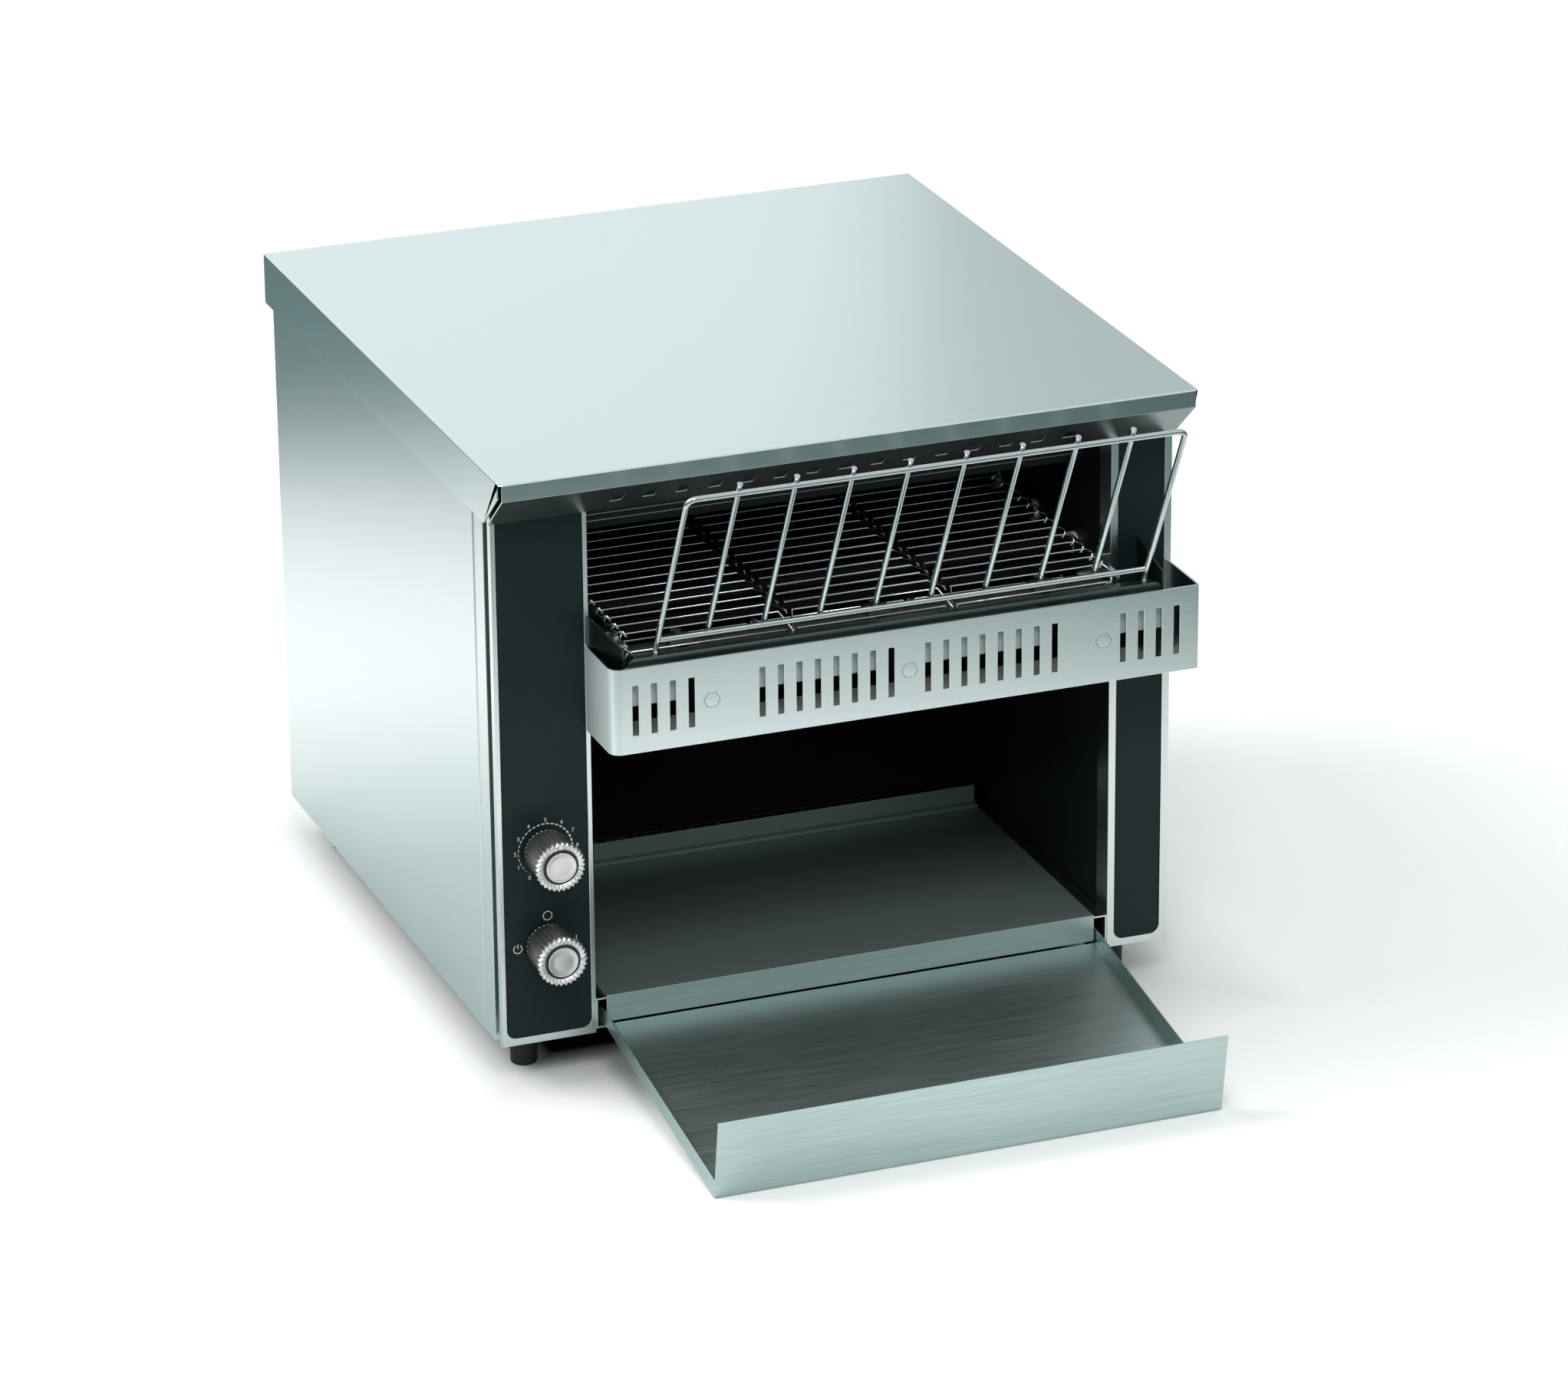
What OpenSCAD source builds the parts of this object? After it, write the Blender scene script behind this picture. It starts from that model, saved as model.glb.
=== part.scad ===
// Counter-top conveyor toaster: a wire belt carries bread between two banks of
// heating elements and drops the toast down a slide into a tray at the front.
// Millimetres. +Z is up, the front looks along -Y, and the origin lies on the
// counter under the middle of the whole outline.

/* [Body] */
// Width of the body across its side panels
body_w = 364; // [300:1:440]
// Depth of the body from the front face to the rear panel
body_d = 354; // [290:1:430]
// Height of the body from the underside of the base to the top of the cover
body_h = 308; // [275:1:375]
// Thickness of the sheet steel
sheet = 1; // [0.8:0.1:1.3]
// Height of the feet below the base
foot_h = 22; // [18:1:40]
// Diameter of a foot at its top
foot_top_d = 17; // [14:0.5:24]
// Distance of the feet from the sides of the body
foot_inset_x = 21; // [18:1:40]
// Distance of the front feet from the front face
foot_inset_y = 27.5; // [18:0.5:50]

/* [Cover] */
// Height of the cover's side and rear flanges
flange_h = 27.5; // [18:0.5:40]
// How far the cover reaches in front of the front face
visor_reach = 24.5; // [16:0.5:36]
// Height of the upright strip of the visor above its slanted strip
visor_upright = 9; // [5:0.5:14]
// Height of the slanted strip of the visor
visor_slant_h = 19.5; // [12:0.5:26]
// How far the cover reaches behind the rear panel
cover_back = 7.5; // [4:0.5:14]
// Number of vent holes along the visor
visor_holes = 15; // [5:1:17]
// Distance between the visor's vent holes
visor_pitch = 17.1; // [12:0.1:17.5]
// Diameter of a visor vent hole
visor_hole_d = 6; // [3:0.5:9]

/* [Front] */
// Width of the column that holds the controls
control_col_w = 49.7; // [46:0.1:62]
// Width of the column on the other side of the opening
trim_col_w = 33.3; // [30:0.1:50]
// Bright border around the black panels
border = 2.4; // [1.5:0.1:4]
// Corner radius of the black panels
panel_r = 5; // [2:0.5:8]
// Height of the speed knob's axis above the base
speed_z = 103.5; // [95:0.5:120]
// Height of the selector knob's axis above the base
selector_z = 52.5; // [40:0.5:56]
// Diameter of the knobs
knob_d = 24.4; // [18:0.2:30]
// Length of the knobs
knob_len = 24; // [18:0.5:30]
// Number of flutes around a knob
knob_flutes = 36; // [18:1:44]

/* [Belt] */
// Depth of the belt's upper run below the top of the cover
feed_drop = 89.5; // [84:0.5:110]
// Distance between two wires of the belt
belt_pitch = 11.6; // [9:0.1:14]
// Diameter of the belt's wires
belt_wire = 1.8; // [1.4:0.1:2.4]
// Wires that would fit once round a belt sprocket
wrap_wires = 6; // [6:2:8]
// Lanes across the belt
belt_lanes = 3; // [2:1:4]
// Space between the belt and the side of the opening at the control column
belt_gap_l = 12.7; // [11:0.1:20]
// Space between the belt and the other side of the opening
belt_gap_r = 12.3; // [11:0.1:20]
// Diameter of the two belt shafts
shaft_d = 10; // [8:0.5:12]
// Heating elements in each bank
elements = 5; // [3:1:6]
// Diameter of a heating element
element_d = 8; // [6:0.5:9]

/* [Belt guard] */
// Height of the slotted guard
guard_h = 45; // [40:0.5:52]
// How far the guard stands in front of the front face
guard_reach = 37.7; // [36:0.1:46]
// Depth of the guard's top edge below the belt's upper run
guard_drop = 9.2; // [7:0.1:14]
// Width of a guard slot
slot_w = 3.2; // [2:0.1:4.5]
// Height of a guard slot
slot_h = 26.1; // [15:0.1:32]
// Distance between two guard slots
slot_pitch = 9.75; // [7:0.05:11]
// Slots in an inner group, where the guard has room
inner_slots = 8; // [3:1:9]
// Slots in an outer group
outer_slots = 4; // [2:1:4]
// Width across the corners of a clinch stud's head
stud_d = 8.6; // [6:0.1:10]

/* [Bread rack] */
// Length of the rack's side wires above its bottom rail
rack_len = 99; // [75:0.5:120]
// Lean of the rack from the upright
rack_lean = 27.3; // [15:0.1:35]
// Diameter of the rack's wires
rack_wire = 3; // [2.4:0.1:4]
// Number of rods in the rack
rack_rods = 8; // [5:1:10]
// Corner radius of the rack's frame
rack_corner = 4.5; // [4:0.5:16]

/* [Trays] */
// Height of the discharge tray's floor above the base
tray_up = 19.8; // [18:0.1:26]
// Depth of the discharge tray
tray_d = 160.6; // [120:0.1:175]
// Height of the discharge tray's front lip
lip_h = 14.4; // [8:0.1:15]
// Height of the discharge tray's rear upstand
upstand_h = 10.8; // [6:0.1:16]
// How far the catch tray reaches in front of the front face
catch_reach = 164.6; // [140:0.1:200]
// Height of the catch tray's front plate
catch_plate_h = 43.4; // [25:0.1:60]
// Lean of the catch tray's front plate from the upright
catch_lean = 9; // [0:0.5:14]
// Height of the catch tray's side walls at the front
catch_wall_h = 9.5; // [6:0.5:14]

/* [Drive] */
// Teeth of the chain sprocket on the belt's drive shaft
shaft_teeth = 24; // [18:1:26]
// Teeth of the chain sprocket on the gear motor
motor_teeth = 12; // [10:1:14]
// Pitch of the drive chain
chain_pitch = 6.35; // [6.35:0.01:6.35]
// Side length of the cooling fan
fan_size = 80; // [60:1:92]
// Diameter of the cord gland's bore
gland_bore_d = 8.4; // [6:0.1:10]

/* [Hidden] */
$fn = 48;

// Clearances
slide_gap = 0.3;       // between a sliding piece and what guides it
run_gap = 0.05;        // between a shaft and its bush, on the radius
fit_gap = 0.1;         // between a panel and the recess it lies in
cut = 1;               // how far a cutting shape runs past the face it cuts

// Outline, worked out from the driving sizes. Y is counted from the front face.
half_w = body_w / 2;
base_z = foot_h;
top_z = base_z + body_h;
face_y = (catch_reach - body_d - cover_back) / 2;
cover_gap = 1;
cover_x = half_w + cover_gap + sheet;
cover_under = top_z - sheet;
floor_z = base_z + 2 * sheet;            // upper side of the base pan's floor
inner_rear = body_d - sheet;

// Front columns
frame_x = half_w - 1;
frame_t = 2.6;
recess = 1.6;
panel_back = 0.5;
frame_return = 14;
opening_l = -frame_x + control_col_w;
opening_r = frame_x - trim_col_w;
frame_top = top_z - 8;
header_z = top_z - 27;
panel_low = base_z + 4;
trim_border = 4;
knob_x = (-frame_x + border + opening_l - border) / 2;
bush_r = 4.5;
bush_hole_r = 4.8;
spindle_r = 3;
side_front = 10.1;                       // front edge of the side panels
side_seam = 24.7;                        // step in the side panels
side_step = 0.5;
pan_x = half_w - side_step - sheet;      // the base pan inside the side panels
pan_front = side_front + sheet + 0.2;
screw_up = 6;                            // of the rear panel's lower screws above the floor

// Chamber
wall_l = opening_l - sheet;
wall_r = opening_r + sheet;
belt_z = top_z - feed_drop;              // centres of the upper run's wires
sprocket_r = belt_pitch / 2 / sin(180 / wrap_wires);
teeth = 2 * wrap_wires;                  // every second tooth has a wire above it
shaft_z = belt_z - sprocket_r;
idler_y = -15;
chute_w = 36;                            // from the belt's rear end to the rear deflector
cover_screw_l = 7;
rear_room = sprocket_r + chute_w + sheet + cover_screw_l - 2 * sheet + slide_gap;
run_wires = floor((inner_rear - rear_room - idler_y) / belt_pitch);
drive_y = idler_y + run_wires * belt_pitch;
belt_l = opening_l + belt_gap_l;
belt_r = opening_r - belt_gap_r;
belt_cx = (belt_l + belt_r) / 2;
lane_w = (belt_r - belt_l) / belt_lanes;
sprocket_x = [belt_cx - 1.17 * lane_w, belt_cx + 0.07 * lane_w, belt_cx + 1.12 * lane_w];
tooth_w = 1.5;
tooth_tip = sprocket_r - belt_wire / 2 - slide_gap;  // the belt stands still, so the teeth pass under it
link_gap = 0.1;                          // between a link and the wire that it hooks on
reflector_z = top_z - 26;
deflector_y = drive_y + sprocket_r + chute_w;
wall_end = deflector_y + 3;
element_z_up = reflector_z - 12;
element_z_low = shaft_z;
element_first = 48;
guard_sheet_y = 35;
element_span = drive_y - sprocket_r - 34 - element_first;
element_pitch = element_span / (elements - 1);
shelf_z = shaft_z - 8.6;                 // sheet below the lower elements
low_shelf_y0 = element_first - 14;
idler_in_l = belt_l - 5.1;               // inner faces of the idler's brackets
idler_in_r = belt_r + 5.1;
bracket_t = 2;
bracket_up = 9;
low_shelf_y1 = drive_y - sprocket_r - 5;

// Guard and trough in front of the opening
guard_l = opening_l - 2.2;
guard_r = frame_x - 0.6;
guard_cx = (guard_l + guard_r) / 2;
guard_top = belt_z - guard_drop;
guard_low = guard_top - guard_h;
ceiling_z = guard_low;                   // roof of the toast's way out, level with the guard
guard_t = 1.2;
guard_bend_l = 6;
guard_bend_r = 2;
slot_mid = guard_low + guard_h / 2;
bottom_notch = 11;                       // chamfer at the bottom plate's rear corner
end_margin = 12.6;
outer_first = (guard_r - guard_l) / 2 - end_margin - (outer_slots - 1) * slot_pitch;
stud_x = outer_first - 10.6;
inner_count = min(inner_slots, floor((stud_x - 6 - slot_pitch) / slot_pitch) + 1);
stud_len = 4.2;                          // from the guard's back face to the rail's
trough_t = 0.8;
rail_front = -guard_reach + guard_t + stud_len - trough_t;
rail_back = rail_front + trough_t;
rail_top = guard_top + 2.9;
rail_low = slot_mid + 0.6;
rail_corner = 4;
window_w = 12;                           // of the rail's windows in front of the sprockets
tab_w = 12;                              // of the rail's tabs behind the studs
ledge_d = 4.9;
trough_l0 = guard_l + guard_t;           // where the left end wall meets the front face
trough_l1 = trough_l0 + 7.4;             // and at its front edge
trough_r = guard_r - 17.4;
end_rise = 4.6;                          // extra height of the end walls at their front
end_rear_rise = 12.6;                    // and where they meet the front face

// Bread rack, behind the guard's top edge
rack_cx = guard_cx - 0.8;
rack_half = (guard_r - guard_l) / 2 - 26.8;
rack_r = rack_wire / 2;
pin_y = rail_back + rack_r + 0.6;
pin_len = 5.2;
bend_z = rail_top + 2.2;
rack_z = rail_top + 8.2;
rack_bend = (rack_z - bend_z) / cos(rack_lean);
rack_y = pin_y - rack_bend * sin(rack_lean);
rack_bite = -0.05;                       // crossing wires are welded, drawn a hair apart
rod_pitch = 2 * rack_half / (rack_rods + 0.87);
rod_tip = 3.2;

// Trays
tray_z = base_z + tray_up;               // upper side of the discharge tray's floor
catch_gap = 0.7;
catch_l = opening_l + 3.8;
catch_r = opening_r - 6.1;
catch_t = 0.8;
tray_l = catch_l + catch_t + catch_gap;
tray_r = catch_r - catch_t - catch_gap;
lip_t = 1;
runner_top = tray_z - sheet - slide_gap; // upper side of the runners' top flange
runner_w = 10.5;
catch_low = 0.4;                         // under the catch tray's front edge
catch_rear_z = tray_z - lip_h - catch_t - 0.5; // its floor starts just under the discharge tray's lip
catch_front_y = -catch_reach + catch_plate_h * sin(catch_lean);
catch_rear_y = -lip_t - 0.9;
tongue_end = 12;
tongue_low = floor_z + sheet + slide_gap;
tongue_top = tongue_low + 8.6;
slide_low = [tray_d + 2.6, tray_z + upstand_h + 1.2];
slide_top = [deflector_y - 8, slide_low[1] + (deflector_y - 8 - slide_low[0]) * 0.7];

// Control compartment
board_x = wall_l - sheet - 15;
chain_x = wall_l - sheet - 18;
chain_w = 3;
shaft_sprocket_r = chain_pitch / 2 / sin(180 / shaft_teeth);
motor_sprocket_r = chain_pitch / 2 / sin(180 / motor_teeth);
motor_y = drive_y - 56;
motor_z = shaft_z - 112;
chain_t = 3;
gearbox_d = 11.5;
can_r = 24;
can_y = motor_y - 56;

// Rear
terminal_y = body_d - foot_inset_y - 58;  // terminal block, ahead of the rear foot
fan_x = -40;
fan_z = floor_z + fan_size / 2 + 12;
fan_d = 25;
fan_pin_r = 2;
gland_x = -half_w + 27;
gland_z = base_z + 48;
gland_r = 8;

// ---------------------------------------------------------------- shared shapes

// Puts a piece that is drawn from the front face into the whole outline's frame
module placed() translate([0, face_y, 0]) children();

// A block between two opposite corners
module block(x0, x1, y0, y1, z0, z1) translate([x0, y0, z0]) cube([x1 - x0, y1 - y0, z1 - z0]);

// An outline in Y and Z, drawn out along X
module across(x0, x1) translate([x0, 0, 0]) rotate([90, 0, 90]) linear_extrude(x1 - x0) children();

// An outline in X and Z, drawn out along Y
module along(y0, y1) translate([0, y1, 0]) rotate([90, 0, 0]) linear_extrude(y1 - y0) children();

// Round bars along the three axes
module bar_x(x0, x1, y, z, r) translate([x0, y, z]) rotate([0, 90, 0]) cylinder(h = x1 - x0, r = r);
module bar_y(x, y0, y1, z, r) translate([x, y0, z]) rotate([-90, 0, 0]) cylinder(h = y1 - y0, r = r);
module bar_z(x, y, z0, z1, r) translate([x, y, z0]) cylinder(h = z1 - z0, r = r);

// A bent sheet's outline: a path, thickened to its left with mitred corners
function unit(v) = v / norm(v);
function left_of(a, b) = let(d = unit(b - a)) [-d[1], d[0]];
function offset_point(path, i, t) =
  i == 0 ? path[0] + t * left_of(path[0], path[1]) :
  i == len(path) - 1 ? path[i] + t * left_of(path[i - 1], path[i]) :
  let(n0 = left_of(path[i - 1], path[i]), n1 = left_of(path[i], path[i + 1]), m = n0 + n1)
    path[i] + 2 * t / (m * m) * m;
function arc(cx, cy, r, a0, a1, steps = 6) =
  [for (i = [0:steps]) let(a = a0 + (a1 - a0) * i / steps) [cx + r * cos(a), cy + r * sin(a)]];
module bent(path, t) polygon(concat(path, [for (i = [len(path) - 1:-1:0]) offset_point(path, i, t)]));

// A rectangle with two round lower corners and square upper ones
module panel_shape(x0, x1, z0, z1, r) {
  translate([x0, z0 + r]) square([x1 - x0, z1 - z0 - r]);
  translate([x0 + r, z0]) square([x1 - x0 - 2 * r, r + 1]);
  translate([x0 + r, z0 + r]) circle(r);
  translate([x1 - r, z0 + r]) circle(r);
}

// ---------------------------------------------------------------- outer casing

// One folded sheet: top, side flanges, rear flange with three tabs, slanted visor
module top_cover() color("lightgray") {
  visor_foot = [-visor_reach + 23, top_z - visor_upright - visor_slant_h];
  bend = [-visor_reach, top_z - visor_upright];
  slant_a = atan2(bend[1] - visor_foot[1], visor_foot[0] - bend[0]);
  hole_mid = (bend + visor_foot) / 2;
  flange_front = -visor_reach + 3.4;
  rear = body_d + cover_back;
  block(-cover_x, cover_x, -visor_reach + sheet, rear, cover_under, top_z);
  difference() {
    across(-cover_x + 1.4, cover_x - 1.4) bent([visor_foot, bend, [-visor_reach, top_z]], -sheet);
    for (i = [0:visor_holes - 1])
      translate([(i - (visor_holes - 1) / 2) * visor_pitch, hole_mid[0], hole_mid[1]])
        rotate([90 - slant_a, 0, 0]) cylinder(h = 8, d = visor_hole_d, center = true);
  }
  for (side = [-1, 1])
    across(side < 0 ? -cover_x : cover_x - sheet, side < 0 ? -cover_x + sheet : cover_x)
      polygon([[flange_front, top_z - 1.2], [flange_front, bend[1] + 0.5],
        [visor_foot[0] + 1.8, top_z - flange_h], [rear, top_z - flange_h], [rear, top_z - 0.4],
        [flange_front + 2, top_z - 0.4]]);
  block(-cover_x, cover_x, rear - sheet, rear, top_z - flange_h, top_z);
  block(-cover_x, cover_x, body_d, rear, top_z - flange_h, top_z - flange_h + sheet);
  for (x = [-1, 0, 1])
    difference() {
      block(x * 120 - 11, x * 120 + 11, body_d, body_d + sheet, top_z - flange_h - 14, top_z - flange_h + sheet);
      bar_y(x * 120, body_d - cut, body_d + sheet + cut, top_z - flange_h - 7, 2.1);
    }
}

// Side skin with its top and bottom flanges, and a stepped strip at the front
module side_skin() {
  block(-half_w, -half_w + sheet, side_seam, body_d, base_z, cover_under);
  block(-half_w + side_step, -half_w + side_step + sheet, side_front, side_seam + sheet, base_z, cover_under);
  block(-half_w + side_step, -half_w + 11, side_front, side_front + sheet, base_z, cover_under);
  block(-half_w + side_step, -half_w + 11, side_front, side_seam + sheet, base_z, base_z + sheet);
  block(-half_w, -half_w + 11, side_seam, body_d, base_z, base_z + sheet);
  block(-half_w + side_step, -half_w + 13, side_front, body_d, cover_under - sheet, cover_under);
}

module side_panel_left() color("lightsteelblue") side_skin();

module side_panel_right() color("lightsteelblue") mirror([1, 0, 0]) side_skin();

// Rear sheet with the fan grille, warm-air slots and the gland hole
module rear_panel() color("silver") {
  difference() {
    block(-half_w + sheet, half_w - sheet, inner_rear, body_d, base_z + sheet, cover_under - sheet);
    for (i = [-4:4])
      block(fan_x - fan_size * 0.38, fan_x + fan_size * 0.38, inner_rear - cut, body_d + cut,
        fan_z + i * fan_size / 11 - 1.8, fan_z + i * fan_size / 11 + 1.8);
    for (i = [-7:7])
      block(i * 14 - 2, i * 14 + 2, inner_rear - cut, body_d + cut, top_z - 96, top_z - 62);
    bar_y(gland_x, inner_rear - cut, body_d + cut, gland_z, gland_r + fit_gap);
    for (x = [-120, 0, 120]) {
      bar_y(x, inner_rear - cut, body_d + cut, floor_z + screw_up, 1.7);
      bar_y(x, inner_rear - cut, body_d + cut, top_z - flange_h - 7, 1.7);
    }
    for (x = [-1, 1], z = [-1, 1])
      bar_y(fan_x + x * fan_size * 0.44, inner_rear - cut, body_d + cut, fan_z + z * fan_size * 0.44, 1.7);
  }
  for (side = [-1, 1])
    block(side < 0 ? -half_w + sheet : half_w - 2 * sheet, side < 0 ? -half_w + 2 * sheet : half_w - sheet,
      inner_rear - 12, inner_rear, floor_z, cover_under - sheet);
}

// Floor pan with side and rear flanges, cooling slots and foot-screw holes
module base_pan() color("gray") {
  difference() {
    block(-pan_x, pan_x, pan_front, inner_rear, base_z + sheet, floor_z);
    for (x = [-1, 1], y = foot_rows()) bar_z(x * (half_w - foot_inset_x), y, base_z, floor_z + cut, 2.2);
    for (x = [-6:6], y = [0.62, 0.8])
      block(x * 16 - 2.5, x * 16 + 2.5, body_d * y - 22, body_d * y + 12, base_z, floor_z + cut);
  }
  for (x = [-pan_x, pan_x - sheet]) block(x, x + sheet, side_seam + 6, inner_rear - 14, floor_z, floor_z + 14);
  difference() {
    block(-half_w + 12, half_w - 12, inner_rear - sheet, inner_rear, floor_z, floor_z + 11);
    for (x = [-120, 0, 120]) bar_y(x, inner_rear - 4, inner_rear + cut, floor_z + screw_up, 1.7);
  }
}

function foot_rows() = [foot_inset_y, body_d - foot_inset_y - 2.5];

// Column of the front: a shallow recess for a black panel, and returns behind its edges
module front_column(x0, x1, window0, window1, return_x0, outer_x0, holes) {
  difference() {
    block(x0, x1, 0, frame_t, base_z, frame_top);
    along(-cut, recess) panel_shape(window0, window1, panel_low, frame_top - 1, panel_r);
    for (z = holes) bar_y(knob_x, -cut, frame_t + cut, z, bush_hole_r);
  }
  block(return_x0, return_x0 + sheet, frame_t - 0.1, frame_return, floor_z, frame_top);
  block(outer_x0, outer_x0 + sheet, frame_t - 0.1, 4.8, base_z, frame_top);
  block(max(x0, -half_w + 11.5), min(x1, half_w - 11.5), frame_t - 0.1, 18.5, base_z, base_z + sheet);
}

knob_rows = [base_z + speed_z, base_z + selector_z];

module front_frame_left() color("gainsboro")
  front_column(-frame_x, opening_l, -frame_x + border, opening_l - border, opening_l - sheet, -frame_x, knob_rows);

module front_frame_right() color("gainsboro")
  front_column(opening_r, frame_x, opening_r + trim_border, frame_x - trim_border, opening_r, frame_x - sheet, []);

// Black face plate of the controls
module control_panel() color("#20292b") difference() {
  along(panel_back, recess) panel_shape(-frame_x + border + fit_gap, opening_l - border - fit_gap,
    panel_low + fit_gap, frame_top - 2, panel_r - fit_gap);
  for (z = knob_rows) bar_y(knob_x, panel_back - cut, recess + cut, z, bush_hole_r);
}

// Black filler of the other column
module side_trim_panel() color("#20292b")
  along(panel_back, recess) panel_shape(opening_r + trim_border + fit_gap, frame_x - trim_border - fit_gap,
    panel_low + fit_gap, frame_top - 2, panel_r - fit_gap);

// Folded bar that joins the two columns behind the visor
module header_bar() color("silver") {
  block(opening_l, opening_r, 0, sheet, header_z, frame_top);
  block(opening_l, opening_r, 0, 12, header_z, header_z + sheet);
}

// ---------------------------------------------------------------- oven chamber

// Inner side wall with holes for the drive shaft's bush and the elements' insulators
module chamber_wall(x) difference() {
  block(x, x + sheet, frame_t, wall_end, floor_z, frame_top);
  bar_x(x - cut, x + sheet + cut, drive_y, shaft_z, shaft_d / 2 + 2 + fit_gap);
  for (i = [0:elements - 1], z = [element_z_up, element_z_low])
    bar_x(x - cut, x + sheet + cut, element_first + i * element_pitch, z, element_d / 2 + 1.5 + fit_gap);
}

module chamber_wall_left() color("darkslategray") chamber_wall(wall_l - sheet);

module chamber_wall_right() color("darkslategray") chamber_wall(wall_r);

// Roof of the chamber, above the upper elements
module upper_reflector() color("silver")
  block(wall_l, wall_r, frame_return + 0.3, deflector_y + sheet, reflector_z, reflector_z + sheet);

// Blanket of mineral wool between the roof and the cover
module top_insulation() color("beige")
  block(wall_l + 2, wall_r - 2, 16, deflector_y - 2, reflector_z + sheet, frame_top - 1);

// Upright sheet in front of the first upper element
module element_guard() color("dimgray")
  block(wall_l, wall_r, guard_sheet_y, guard_sheet_y + sheet, belt_z + 37.5, reflector_z);

// Sheet under the belt that roofs the toast's way out
module cavity_ceiling() color("#2a2f30") {
  block(opening_l, opening_r, 0, frame_return + 0.3, ceiling_z, ceiling_z + sheet);
  block(wall_l, wall_r, frame_return + 0.2, drive_y - 46, ceiling_z, ceiling_z + sheet);
}

// Sheet inside the belt loop, under the lower elements
module lower_reflector() color("silver")
  block(wall_l, wall_r, low_shelf_y0, low_shelf_y1, shelf_z, shelf_z + sheet);

// Rear wall of the chamber, turning forwards at its foot to hand the toast to the slide
module rear_deflector() color("#3a4042")
  across(wall_l, wall_r)
    bent(concat([slide_top + [1.5, 3.2]], arc(deflector_y - 26, slide_top[1] + 42, 26, -38, 0, 5),
      [[deflector_y, reflector_z]]), -sheet);

// Sloping sheet that brings the toast forwards to the discharge tray
module toast_slide() color("#2a2f30")
  across(wall_l, wall_r) bent([slide_low + [0, -0.6], slide_low + [6, 2], slide_top], -sheet);

// ---------------------------------------------------------------- trays

// Two channels that carry the discharge tray and hold the catch tray's tongues
module tray_runners() color("lightgray")
  for (side = [0, 1])
    translate([side ? opening_r : opening_l, 0, 0]) mirror([side, 0, 0]) {
      block(0, sheet, 0, tray_d - 4, floor_z, runner_top);
      block(0, runner_w, 0, tray_d - 4, floor_z, floor_z + sheet);
      block(0, runner_w, 0, tray_d - 4, runner_top - sheet, runner_top);
    }

// Flat tray with a lip in front and an upstand behind, which also catches the crumbs
module discharge_tray() color("#4d5a5c") {
  block(tray_l, tray_r, -lip_t, tray_d, tray_z - sheet, tray_z);
  along(-lip_t, 0) panel_shape(tray_l, tray_r, tray_z - lip_h, tray_z, 1.6);
  block(tray_l, tray_r, tray_d - sheet, tray_d, tray_z - sheet, tray_z + upstand_h);
  block(tray_l, tray_r, tray_d - 6, tray_d, tray_z - sheet, tray_z + 1.6);
}

// Sloping tray that hangs in the runners and rests on the counter
module catch_tray() color("#a5bab7") {
  rear = [catch_rear_y, catch_rear_z];
  front = [catch_front_y, catch_low];
  top = [-catch_reach, catch_low + catch_plate_h * cos(catch_lean)];
  across(catch_l, catch_r) {
    bent([rear, front], -catch_t);
    bent([front, top], -catch_t);
  }
  wall_top = catch_low + catch_wall_h;
  for (x = [catch_l, catch_r - catch_t])
    across(x, x + catch_t)
      polygon([rear, front, front + [-catch_wall_h * sin(catch_lean), catch_wall_h * cos(catch_lean)],
        [catch_rear_y, tongue_top], [tongue_end, tongue_top], [tongue_end, tongue_low],
        [0.3, tongue_low]]);
}

// ---------------------------------------------------------------- guard, trough and rack

// X places of the guard's slots, counted from its middle
function slot_places() = concat(
  [for (side = [-1, 1], i = [0:inner_count - 1]) side * slot_pitch * (i + 1)],
  [for (side = [-1, 1], i = [0:outer_slots - 1]) side * (outer_first + slot_pitch * i)]);

// Tray of stainless sheet round the front of the belt, with slots and a plain bottom
module belt_guard() color("gainsboro") {
  path = concat([[guard_l, 0]],
    arc(guard_l + guard_bend_l, -guard_reach + guard_bend_l, guard_bend_l, 180, 270, 8),
    arc(guard_r - guard_bend_r, -guard_reach + guard_bend_r, guard_bend_r, 270, 360, 4));
  difference() {
    translate([0, 0, guard_low]) linear_extrude(guard_h) bent(concat(path, [[guard_r, 0]]), guard_t);
    for (x = slot_places())
      block(guard_cx + x - slot_w / 2, guard_cx + x + slot_w / 2, -guard_reach - cut,
        -guard_reach + guard_t + cut, slot_mid - slot_h / 2, slot_mid + slot_h / 2);
    for (x = [-1, 0, 1])
      translate([guard_cx + x * stud_x, -guard_reach + guard_t + cut, slot_mid])
        rotate([90, 0, 0]) cylinder(h = guard_t + 2 * cut, d = stud_d + 2 * fit_gap, $fn = 6);
  }
  translate([0, 0, guard_low]) linear_extrude(guard_t)
    polygon(concat(path, [[guard_r, -bottom_notch], [guard_r - bottom_notch, 0]]));
}

// Clinch studs: six-sided heads pressed flush into the guard, shanks through the rail
module guard_studs() color("gainsboro")
  for (x = [-1, 0, 1]) {
    translate([guard_cx + x * stud_x, -guard_reach + guard_t, slot_mid])
      rotate([90, 0, 0]) cylinder(h = guard_t, d = stud_d, $fn = 6);
    bar_y(guard_cx + x * stud_x, -guard_reach + guard_t, rail_front, slot_mid, 3);
    bar_y(guard_cx + x * stud_x, rail_front, rail_back + 1.4, slot_mid, 1.8);
  }

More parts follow.
